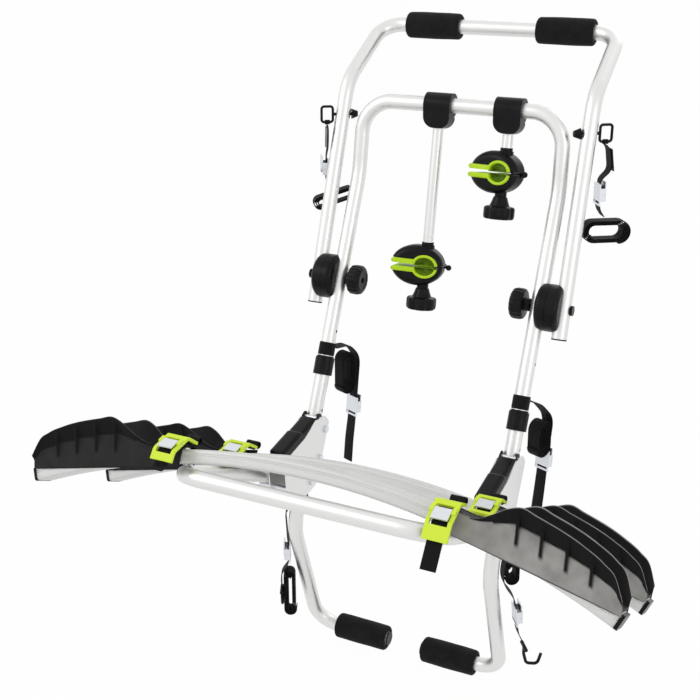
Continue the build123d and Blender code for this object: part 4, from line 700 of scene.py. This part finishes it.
STRAPS = {
    "mid_right": (on_main(1, 554), (0.384, 0.923),
                  ((16, 0), (46, -14), (82, -50), (76, -108), (72, -166), (68, -206), (62, -258)),
                  (24, 40, 60, 90, 90), (58, -55, 4, 26, 10, 0)),
    "mid_left": (on_main(-1, 586), (0.384, 0.923),
                 ((16, 0), (50, -2), (76, -30), (70, -110), (64, -168), (58, -210), (54, -258)),
                 (20, 40, 60, 90, 90), (46, -20, 4, 45, 8, 0)),
    "lower_right": (on_main(1, 316), (0.82, 0.57),
                    (START, (20, -20), (14, -74), (42, -112), (50, -186), (66, -218)),
                    (20, 50, 60, 60), (33, -36, 3, 14, 6, 0)),
    "lower_left": (on_main(-1, 316), (-0.898, -0.439),
                   (START, (27, -26), (24, -80), (22, -92), (22, -140), (38, -164), (38, -200)),
                   (12, 60, 40, 20, 20), (22, -160, 4, 70, 3, 0)),
    "upper_right": (on_upper(1), (0.82, 0.57),
                    (EYE_START, (37, -26), (43, -66), (25, -82), (26, -136), (36, -150)),
                    (9, 14, 14, 16), (2, -178, 4, 40, 12, 90)),
    "upper_left": (on_upper(-1), (-0.82, -0.57),
                   (EYE_START, (30, -24), (31, -66), (34, -80), (34, -128), (30, -138)),
                   (10, 30, 30, 20), (-20, -152, 3, 56, 6, 73)),
}


def strap_axes(name):
    """Origin, the level direction away from the tube, straight up, and across the strap."""
    centre, toward = STRAPS[name][:2]
    level = np.array([*toward, 0.0]) / np.hypot(*toward)
    up = np.array([0.0, 0.0, 1.0])
    return centre, level, up, np.cross(level, up)


# %% Wrapped loop, hanging run and folded hank
def wrapped_loop(name):
    """A circle round the main tube, with the webbing's width along the tube. The upper straps are
    gathered to less than half their width and go round the lower wire of the eye that hangs beside the
    tube."""
    centre, level, up, across = strap_axes(name)
    turn = np.linspace(0, 2 * np.pi, 64)[:, None]
    if name.startswith("upper"):
        wire = centre + EYE_WIRE[0] * level + EYE_WIRE[1] * up
        return band(wire + EYE_LOOP_R * (np.cos(turn) * across + np.sin(turn) * up), level, EYE_LOOP_W)
    axis = np.array([0.0, math.sin(MAIN_LEAN), math.cos(MAIN_LEAN)])
    first = np.cross(axis, (0.0, 1.0, 0.0))
    first /= np.linalg.norm(first)
    line = centre + RING_R * (np.cos(turn) * first + np.sin(turn) * np.cross(axis, first))
    return band(line, axis)


def hanging_run(name):
    """The corner points' rounded line in the strap's own plane, softened, with a slow twist that dies
    out at both ends: a squared half sine along the strap times a slow wave and a small angle."""
    centre, level, up, across = strap_axes(name)
    corners, radii = STRAPS[name][2:4]
    flat = eased(rounded_line(corners, radii), 4)
    line = centre + flat[:, :1] * level + flat[:, 1:] * up
    gone = np.linspace(0, 1, len(line))
    twist = TWIST * np.sin(np.pi * gone) ** 2 * np.sin(5 * gone + centre[2])
    return band(line, across, twist=twist)


def folded_hank(name):
    """Half turns one after the other: upper ones about one centre and lower ones about another, half a
    pitch aside, each bigger than the last. Outer loops hang a little lower and stand a little aside, as
    loose ones do."""
    centre, level, up, across = strap_axes(name)
    u0, v0, turns, straight, core, angle = STRAPS[name][4]
    top = core + (turns - 1) * HANK_PITCH
    parts, asides = [], []
    for turn in range(turns):
        for half, sign in ((0, 1), (1, -1)):
            radius = core + (turn + half * 0.5) * HANK_PITCH
            drop = -straight - 1.5 * turn if half else 0.8 * turn
            sweep = np.linspace(np.pi, 0, 25)
            parts.append(np.column_stack([-half * HANK_PITCH / 2 + sign * radius * np.cos(sweep),
                                          drop - top + sign * radius * np.sin(sweep)]))
            asides.append(np.full(len(sweep), (turn - turns / 2) * HANK_ASIDE + (0.9 if half else -0.9)))
    flat = np.vstack(parts)
    flat = evenly(np.column_stack([flat, np.concatenate(asides)]), 1.6)
    flat[:, 2:] = eased(flat[:, 2:], 8)
    lean = math.radians(angle)
    u = u0 + flat[:, 0] * math.cos(lean) - flat[:, 1] * math.sin(lean)
    v = v0 + flat[:, 0] * math.sin(lean) + flat[:, 1] * math.cos(lean)
    line = centre + u[:, None] * level + v[:, None] * up + flat[:, 2:] * across
    return band(line, across)


for place, body in (("mid", "main_frame"), ("lower", "main_frame"), ("upper", "upper_frame")):
    for side in ("right", "left"):
        name = f"{place}_{side}"
        webbing_piece(f"{place}_webbing_{side}", [wrapped_loop(name), hanging_run(name), folded_hank(name)],
                      body, f"{place}_straps")

# %% [markdown]
# ## Wheel trays
# The four trays are the biggest mouldings: scoops that sit astride a rail, with walls that flare out, a
# shelf line about half way up, four buttresses on each wall and a smooth band below the shelf line. The
# wall's height and flare are known at a few places along the rail; a smooth curve through them gives
# every section between, and each section is one closed outline.

# %% Curves through a few known places
def through(places, values, wanted):
    """A smooth curve through known values: between two places it is the cubic whose slope at each place
    is that of the line between the place's neighbours."""
    places = np.asarray(places, float)
    values = np.asarray(values, float)
    slopes = np.gradient(values, places)
    index = np.clip(np.searchsorted(places, wanted) - 1, 0, len(places) - 2)
    gap = places[index + 1] - places[index]
    share = np.clip((wanted - places[index]) / gap, 0, 1)
    low, high = values[index], values[index + 1]
    square, cube = share ** 2, share ** 3
    return ((2 * cube - 3 * square + 1) * low + (cube - 2 * square + share) * gap * slopes[index]
            + (3 * square - 2 * cube) * high + (cube - square) * gap * slopes[index + 1])


def between_lines(first, second, count):
    """Points from one line to another in equal shares, without the last."""
    share = np.linspace(0, 1, count, endpoint=False)[None, :, None]
    return first[:, None] * (1 - share) + second[:, None] * share


# %% The tray's sections
TRAY_T = 2.5
TRAY_STATIONS = np.array((
    (224.0, 46.0, 0.0), (266.0, 38.0, 1.0), (282.0, 38.0, 8.0), (308.0, 50.0, 20.0),
    (330.0, 63.0, 25.0), (350.0, 69.0, 27.0), (374.0, 62.0, 27.0), (444.0, 36.0, 24.0),
    (474.0, 19.0, 22.0), (492.0, 3.0, 19.0), (505.0, -26.0, 14.0)))
TRAY_RIBS = (346.0, 383.0, 421.0, 458.0)
# How strong the painted highlight on the tray rims is on each side.
RIM_PAINTED_HIGHLIGHT = {"right": 0.9, "left": 0.16}
RIB_HALF_W = 3.6
RIB_OUT = 6.0
RIB_PITCH = 37.5
KNEE_SHARE = 0.45
KNEE_FLARE = 0.33
SKIRT_LOW = 10.0
SKIRT_SLOPE = 0.21
TRAY_GAP = 3.4
DULL = 0.06
HOOP_FRONT = 424.0
HOOP_CORNER_R = 62.0
HOOP_CLEAR_R = 15.2
WALL_COUNTS = (4, 2, 16, 16, 4, 14, 8)
MIDDLE_COUNT = 24


def hoop_top(x, y):
    """Height that clears the hoop's tube under a point: the tube's circle over the distance to its
    middle line, which is straight along the arm and an arc round the corner."""
    bend_y = -(HOOP_FRONT - HOOP_CORNER_R)
    from_centre = np.hypot(x - (ARM_X - HOOP_CORNER_R), np.minimum(y - bend_y, 0))
    round_corner = np.abs(from_centre - HOOP_CORNER_R)
    away = np.where(y < bend_y, round_corner, np.abs(x - ARM_X))
    height = np.sqrt(np.clip(HOOP_CLEAR_R ** 2 - away ** 2, 0, None)) + 0.4
    return np.where(away < HOOP_CLEAR_R, height, -1e3)


def tray_corners(x, rail_y, sign):
    """One half of the section as eight corner lines along the rail: skirt, knee, rim and floor."""
    rim_z = through(TRAY_STATIONS[:, 0], TRAY_STATIONS[:, 1], x)
    flare = np.maximum(through(TRAY_STATIONS[:, 0], TRAY_STATIONS[:, 2], x), 0.0)
    foot_in = np.full_like(x, RAIL_W / 2 + PLAY)
    foot_out = foot_in + TRAY_T
    under = rail_height(x) + RAIL_H / 2 + TRAY_GAP
    floor_z = under + TRAY_T
    rim_z = np.maximum(rim_z, floor_z + 1.0)
    skirt = SKIRT_LOW - SKIRT_SLOPE * (x - TRAY_STATIONS[0, 0])
    low = np.minimum(np.maximum(skirt, hoop_top(x, rail_y + sign * foot_out)), under - 3.0)
    knee_z = floor_z + KNEE_SHARE * (rim_z - floor_z)
    knee_y = foot_out + KNEE_FLARE * flare
    rim_y = foot_out + flare
    pairs = ((foot_in, under), (foot_in, low), (foot_out, low), (knee_y, knee_z), (rim_y, rim_z),
             (rim_y - TRAY_T, rim_z), (knee_y - TRAY_T, knee_z), (foot_out - TRAY_T, floor_z))
    return [np.stack([sign * y, z], -1) for y, z in pairs]


# %% Ribs, shelf line and the closed outline
def tray_grid(rail_y, mirror):
    """Sections along X, each the right half's outline followed by the left half's in reverse. The outer
    walls get four buttresses: a bell across the rib times a half sine from foot to rim. The carried number
    is high on the smooth band of the right trays' front wall, where the photograph shows it shining: there
    it makes the plastic smoother and paints it grey, a painted reflection. On every rim it is a painted
    highlight."""
    x = np.linspace(TRAY_STATIONS[0, 0], TRAY_STATIONS[-1, 0], 290)
    half, other = tray_corners(x, rail_y, 1), tray_corners(x, rail_y, -1)
    order = half + other[::-1]
    counts = WALL_COUNTS + (MIDDLE_COUNT,) + WALL_COUNTS[::-1] + (MIDDLE_COUNT,)
    outline = np.concatenate([between_lines(first, second, count) for first, second, count
                              in zip(order, order[1:] + order[:1], counts)], axis=1)
    for _ in range(2):
        outline = (np.roll(outline, 1, axis=1) + 2 * outline + np.roll(outline, -1, axis=1)) / 4
    starts = np.concatenate([[0], np.cumsum(counts)])
    rib = sum(np.exp(-np.abs((x - place) / RIB_HALF_W) ** 4) for place in TRAY_RIBS)[:, None]
    saw = 0.10 * (((x - TRAY_RIBS[0]) / RIB_PITCH) % 1.0)[:, None]
    gloss_and_painted_reflection = np.zeros(outline.shape[:2])
    for first, last, sign in ((2, 4, 1), (11, 13, -1)):
        wall = np.arange(starts[first], starts[last])
        height = np.linspace(1 - sign, 1 + sign, len(wall))
        swell = np.sin(np.pi * np.clip((height - 0.35) / 1.5, 0, 1)) ** 1.2
        outline[:, wall, 0] += sign * (RIB_OUT * swell * rib + 0.8 * np.exp(-((height - 1.0) / 0.06) ** 2))
        # Only the right trays' front band gets the full painted reflection; every other wall keeps a trace
        # of it.
        painted_shine = DULL if mirror or sign > 0 else 1.0
        fin = rib * np.clip((height - 0.40) / 0.10, 0, 1)
        gloss_and_painted_reflection[:, wall] = painted_shine * np.clip((0.98 + saw - height) / 0.06, 0, 1) * (1 - fin)
    # Rims are painted light grey as a painted highlight, strong on the right trays and faint on the left.
    for first in (4, 10):
        rim = np.arange(starts[first], starts[first + 1] + 1)
        gloss_and_painted_reflection[:, rim] = RIM_PAINTED_HIGHLIGHT["left" if mirror else "right"]
    local = np.concatenate([np.broadcast_to(x[:, None, None], outline.shape[:2] + (1,)), outline], axis=2)
    local[..., 1] += rail_y
    if mirror:
        local[..., 0] *= -1
    return into_place(local, *PLATFORM_AXES), gloss_and_painted_reflection


for rail, rail_y in RAIL_YS.items():
    for side, mirror in (("right", False), ("left", True)):
        grid, gloss_and_painted_reflection = tray_grid(rail_y, mirror)
        tray = surface_mesh(f"{rail}_tray_{side}", [grid], tray_plastic, "platform",
                            {"gloss_and_painted_reflection": [gloss_and_painted_reflection]})
        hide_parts(f"{rail}_trays")

# %% [markdown]
# ## Bowed rails
# A rail is an extruded box with rounded corners, two thin grooves along the top of its front face, and
# a gentle bow. Its section is worked out once and carried along the bow; the same is done for the
# hollow inside, going back, so that the two together make one closed wall.

# %% Bowed rails
RAIL_WALL = 2.0
RAIL_CORNERS = (5.0, 3.0)
GROOVE_ZS = (4.6, 1.6)
GROOVE_HALF_W = 0.55
GROOVE_DEPTH = 0.9


def rounded_box(width, height, radius, count=36):
    """Outline of a box with round corners: quarter circles at the corners, evenly divided sides between
    them."""
    quarter = np.linspace(0, np.pi / 2, 7)
    wide, high = width / 2 - radius, height / 2 - radius
    corners = ((wide, high, 0), (-wide, high, 1), (-wide, -high, 2), (wide, -high, 3))
    parts = []
    for index, (y, z, turn) in enumerate(corners):
        angles = quarter + turn * np.pi / 2
        parts.append(np.column_stack([y + radius * np.cos(angles), z + radius * np.sin(angles)]))
        next_y, next_z, next_turn = corners[(index + 1) % 4]
        aim = next_turn * math.pi / 2
        begin = parts[-1][-1]
        end = np.array((next_y + radius * math.cos(aim), next_z + radius * math.sin(aim)))
        share = np.linspace(0, 1, count + 1)[1:-1, None]
        parts.append(begin + share * (end - begin))
    return np.vstack(parts)


def rail_grid(rail_y):
    """The section moved along a circle of the bow's radius; a groove is a narrow bell pressed into the
    front."""
    outer = rounded_box(RAIL_W, RAIL_H, RAIL_CORNERS[0])
    inner = rounded_box(RAIL_W - 2 * RAIL_WALL, RAIL_H - 2 * RAIL_WALL, RAIL_CORNERS[1])
    front = outer[:, 0] < -RAIL_W / 2 + 0.1
    groove = sum(np.exp(-((outer[:, 1] - z) / GROOVE_HALF_W) ** 2) for z in GROOVE_ZS)
    outer[:, 0] += np.where(front, GROOVE_DEPTH * groove, 0.0)
    end = math.asin(RAIL_HALF_LENGTH / RAIL_R)
    angle = np.linspace(-end, end, 121)
    rows = []
    for outline, angles in ((outer, angle), (inner, angle[::-1])):
        radius = RAIL_R + outline[None, :, 1]
        rows.append(np.stack([radius * np.sin(angles)[:, None],
                              np.broadcast_to(rail_y + outline[None, :, 0], (len(angles), len(outline))),
                              RAIL_TOP_Z - RAIL_R + radius * np.cos(angles)[:, None]], -1))
    return into_place(np.concatenate(rows), *PLATFORM_AXES)


rails = surface_mesh("bowed_rails", [rail_grid(rail_y) for rail_y in RAIL_YS.values()], rail_aluminium,
                     "platform", closed_rows=True)
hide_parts("bike_rails")

# %% [markdown]
# ## Lobed knobs
# Each knob is a body of revolution whose rim is scalloped: going round, the radius dips at every lobe's
# edge. How deep it dips depends on the place on the profile, so the neck and the flat end stay round.

# %% Lobed knobs
def lobed_knob(profile, lobes, depth, origin, axes):
    """Profile rows are (radius, height, scallop share). Radius is cut by depth times the share times a
    narrow bell in the angle, repeated once a lobe."""
    profile = np.asarray(profile, float)
    fine = np.linspace(0, len(profile) - 1, 12 * (len(profile) - 1) + 1)
    columns = [np.interp(fine, np.arange(len(profile)), column) for column in profile.T]
    radius, height, scallop = (eased(column[:, None], 3)[:, 0] for column in columns)
    turn = full_turn(24 * lobes)
    dip = ((1 + np.cos(lobes * turn)) / 2) ** 3
    around = radius[:, None] * (1 - depth * scallop[:, None] * dip)
    local = np.stack([around * np.cos(turn), around * np.sin(turn),
                      np.broadcast_to(height[:, None], around.shape)], -1)
    return into_place(local, origin, *axes)


CLAMP_KNOB = ((2.0, 0.0, 0), (12.6, 0.0, 0), (13.2, -2.0, 0), (15.5, -9.0, 0), (18.6, -16.4, 0),
              (20.5, -17.2, 0.3), (26.5, -17.8, 1), (28.8, -20.5, 1), (29.0, -27.0, 1), (29.0, -35.0, 1),
              (28.0, -39.5, 1), (25.0, -41.0, 0.6), (21.0, -41.0, 0.1), (19.5, -39.2, 0), (8.0, -39.0, 0),
              (2.0, -39.0, 0))
CLAMP_LOBES = (7, 0.105)
KNOB_SEAT = (-3.0, -44.3)
HEADS = {"long": ((-41.0, 160.003, 746.397), (0.990268, 0.137101, -0.023928),
                  (-0.139173, 0.975522, -0.170256)),
         "short": ((96.0, 192.497, 932.583), (0.961262, -0.271533, 0.04739),
                   (0.275637, 0.946948, -0.165269))}
ARM_AXIS = (0.0, 0.171929, 0.985109)
for kind, (origin, x_axis, y_axis) in HEADS.items():
    seat = np.array(origin) + KNOB_SEAT[0] * np.array(x_axis) + KNOB_SEAT[1] * np.array(ARM_AXIS)
    grid = lobed_knob(CLAMP_KNOB, *CLAMP_LOBES, seat, (x_axis, y_axis, ARM_AXIS))
    knob = surface_mesh(f"{kind}_lobed_knob", [grid], black_plastic, f"{kind}_knob")
    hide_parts(f"{kind}_clamp_knob")

HINGE_KNOB = ((2.0, 0.0, 0), (12.0, 0.0, 0), (12.0, 8.5, 0), (14.0, 10.0, 0), (24.5, 10.3, 0.7),
              (27.6, 12.5, 1), (28.5, 17.0, 1), (28.5, 28.0, 1), (27.0, 32.5, 1), (22.0, 35.6, 0.8),
              (17.0, 36.0, 0.2), (15.5, 34.8, 0), (6.5, 34.6, 0), (5.0, 33.0, 0), (4.4, 29.0, 0),
              (2.0, 28.6, 0))
HINGE_LOBES = (14, 0.045)
HINGE_KNOB_X = 185.7
for side, sign in (("right", 1), ("left", -1)):
    seat = (sign * HINGE_KNOB_X, on_main(1, HINGE_Z)[1], HINGE_Z)
    grid = lobed_knob(HINGE_KNOB, *HINGE_LOBES, seat, ((0, 1, 0), (0, 0, 1), (-sign, 0, 0)))
    knob = surface_mesh(f"hinge_grip_{side}", [grid], black_plastic, f"hinge_knob_{side}")
    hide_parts(f"hinge_knob_{side}")

# %% [markdown]
# ## Lime liners
# Each clamp jaw holds one half of a soft liner. The liner's rim stands proud of the jaw, and inside it
# a ribbed cushion closes the pocket down to a narrow slit. One half is drawn as two outlines with
# matching points, the outer edge and the inner edge of the rim, and the surface goes from the cushion
# over the rim to the other side.

# %% Lime liners
LINER_HALF_T = 26.0
CUSHION_HALF_T = 15.0
POCKET_OUT = (25.5, 22.0)
POCKET_IN = (20.5, 17.0)
POCKET_X = 2.0
LIP_Z = 3.0
LIP_TOP_Z = 12.0
LIP_END_X = -57.0
MOUTH_CORNER = (-17.5, 3.1)
SLIT_END_X = 20.5
SLIT_HALF_H = 1.25
CUSHION_MIDDLE = (4.0, 7.5)
CUSHION_RIB = 1.3
RIB_POINTS = 8


def liner_outlines():
    """Outer and inner outline of one half: round the pocket, along the top of the lip, round the nose,
    back along the mouth and along the slit. Inner points stay put at the mouth's corner while the outer
    ones go round it."""
    first, last = (math.asin(height / POCKET_OUT[1]) for height in (LIP_Z, LIP_TOP_Z))
    angle = np.linspace(first, math.pi - last, 56)[:, None]
    arcs = [np.hstack([POCKET_X + wide * np.cos(angle), high * np.sin(angle)])
            for wide, high in (POCKET_OUT, POCKET_IN)]
    share = np.linspace(0, 1, 17)[1:, None]
    nose = np.linspace(math.pi / 2, 1.5 * math.pi, 15)[1:-1, None]
    slit = np.linspace(MOUTH_CORNER[0], SLIT_END_X, 40)[:, None]
    corner = np.array(MOUTH_CORNER)
    outer = [arcs[0], arcs[0][-1] * (1 - share) + np.array((LIP_END_X, LIP_TOP_Z)) * share,
             np.hstack([LIP_END_X - 1.0 + 5.5 * np.cos(nose), 7.5 + 4.5 * np.sin(nose)]),
             np.array((LIP_END_X, LIP_Z)) * (1 - share) + np.array((-19.0, LIP_Z)) * share,
             np.hstack([slit, np.full_like(slit, SLIT_HALF_H)]), np.array([(21.5, LIP_Z)])]
    inner = [arcs[1], arcs[1][-1] * (1 - share) + corner * share,
             np.broadcast_to(corner, (len(nose) + len(share), 2)),
             np.hstack([slit, np.full_like(slit, SLIT_HALF_H + 0.1)]), np.array([(21.2, LIP_Z)])]
    return np.vstack(outer), np.vstack(inner)


def half_liner(sign, lift):
    """Rows: cushion middle, cushion edge, rim's inner edge, rim's outer edge, and the same on the other
    face. The cushion's depth waves from rib to rib, and the number deep goes from 1 inside to 0."""
    outer, inner = liner_outlines()
    middle = CUSHION_MIDDLE + 0.12 * (inner - CUSHION_MIDDLE)
    rib = CUSHION_RIB * np.cos(np.arange(len(outer)) * 2 * np.pi / RIB_POINTS)
    rows = ((middle, CUSHION_HALF_T, 0, 1.0), ((inner + middle) / 2, CUSHION_HALF_T, 1, 0.85),
            (inner, CUSHION_HALF_T, 1, 0.8), (inner, LINER_HALF_T - 0.8, 0, 0.1),
            (inner * 0.94 + outer * 0.06, LINER_HALF_T, 0, 0.0),
            (inner * 0.1 + outer * 0.9, LINER_HALF_T, 0, 0.0), (outer, LINER_HALF_T - 0.9, 0, 0.0))
    face = np.stack([np.column_stack([line[:, 0], depth + ribbed * rib, sign * (line[:, 1] + lift)])
                     for line, depth, ribbed, _ in rows])
    deep = np.array([row[3] for row in rows])[:, None]
    both = np.concatenate([face * (1, -1, 1), face[::-1]])
    return both, np.broadcast_to(np.concatenate([deep, deep[::-1]]), both.shape[:2])


lime_liner, tree, surface = new_finish("lime_liner", specular=0.35)
# The lime darkens to deep green as the number deep rises inside the pocket: painted shade of the recess.
painted_recess_shade = joined(tree, "ADD", own_number(tree, "deep"), numbers(tree, grain(tree, 70.0), -0.05, 0.05))
dress(tree, surface, tones(tree, painted_recess_shade, (0.53, 0.80, 0.010), (0.10, 0.19, 0.004), 0.0, 1.0),
      numbers(tree, grain(tree, 70.0), 0.30, 0.42))
relief(tree, surface, grain(tree, 1100.0, 2.0), 0.00006, 0.4)

for kind, (origin, x_axis, y_axis) in HEADS.items():
    for jaw, body, sign, lift in (("upper", "head", 1, 0.0), ("lower", "jaw", -1, 0.4)):
        local, deep = half_liner(sign, lift)
        grid = into_place(local, origin, x_axis, y_axis, ARM_AXIS)
        liner = surface_mesh(f"{kind}_{jaw}_cushion", [grid], lime_liner, f"{kind}_{body}",
                             {"deep": [deep]})
        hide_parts(f"{kind}_{jaw}_liner")

# %% [markdown]
# ## Fold levers
# The two levers under the main tubes are rubbery handles: a slim part near the pivot and a rounder,
# thicker grip. Each is one surface whose section, a rounded box, grows from the slim height to the
# thick one along the lever.

# %% Fold levers
LEVER_PIVOT = (-15.0, 466.5)
LEVER_DROP = math.radians(10.0)
LEVER_HALF_W = 16.3
LEVER_SPAN = (12.5, 142.0)
LEVER_STEP = 64.0
ARM_HALF_T = 8.5
GRIP_EXTRA = 4.0
LEVER_SQUARENESS = 0.45
LATCH_PIN = (34.0, 3.3)
EAR_ROWS = ((14.4, 4.6, 0.0), (14.4, 10.0, 3.5), (16.2, 10.0, 3.5), (16.2, 4.6, 0.0))


def lever_handle():
    """Sections along the lever: a squared circle whose height eases from 17 to 25 mm at the grip,
    closes in a round end, and is cut back over the latch pin by the pin's own circle."""
    start, end = LEVER_SPAN
    along = np.concatenate([np.linspace(start, 66.0, 60), np.linspace(67.0, end - 4.0, 50),
                            end - 4.0 * (1 - np.sin(np.linspace(0.1, np.pi / 2, 10)))])
    grown = np.clip((along - LEVER_STEP) / 8.0, 0, 1)
    thick = ARM_HALF_T + GRIP_EXTRA * grown ** 2 * (3 - 2 * grown)
    close = np.sqrt(np.clip(1 - np.clip((along - end + 6.0) / 6.2, 0, 1) ** 2, 0.05, 1))
    turn = full_turn(56)
    wide = squared(np.cos(turn), LEVER_SQUARENESS)
    high = squared(np.sin(turn), LEVER_SQUARENESS)
    x = LEVER_HALF_W * close[:, None] * wide
    z = (thick * close)[:, None] * high
    pin = np.sqrt(np.clip(LATCH_PIN[1] ** 2 - (along - LATCH_PIN[0]) ** 2, 0, None))
    ceiling = np.where(along > 60, 99.0, ARM_HALF_T - pin)
    return np.stack([x, np.broadcast_to(along[:, None], x.shape), np.minimum(z, ceiling[:, None])], -1)


def lever_ear(side):
    """One ear beside the tube: a ring round the pivot pin, as thick as its plate, whose handle side is
    drawn out until it meets the handle."""
    turn = full_turn(48)
    rows = []
    for x, radius, reach in EAR_ROWS:
        along = radius * np.cos(turn) + reach * np.clip(np.cos(turn), 0, 1)
        rows.append(np.column_stack([np.full(len(turn), side * x), along, radius * np.sin(turn)]))
    return np.stack(rows)


LEVER_AXES = ((1.0, 0.0, 0.0), (0.0, -math.cos(LEVER_DROP), -math.sin(LEVER_DROP)),
              (0.0, math.sin(LEVER_DROP), -math.cos(LEVER_DROP)))
LEVER_FORMS = (("handle", [lever_handle()], False), ("lugs", [lever_ear(1), lever_ear(-1)], True))
for side, sign in (("right", 1), ("left", -1)):
    origin = (sign * MAIN_HALF_WIDTH, *LEVER_PIVOT)
    for label, grids, closed in LEVER_FORMS:
        placed = [into_place(grid, origin, *LEVER_AXES) for grid in grids]
        piece = surface_mesh(f"fold_{label}_{side}", placed, black_plastic, f"fold_lever_{side}",
                             closed_rows=closed)
        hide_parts(f"fold_lever_{side}")
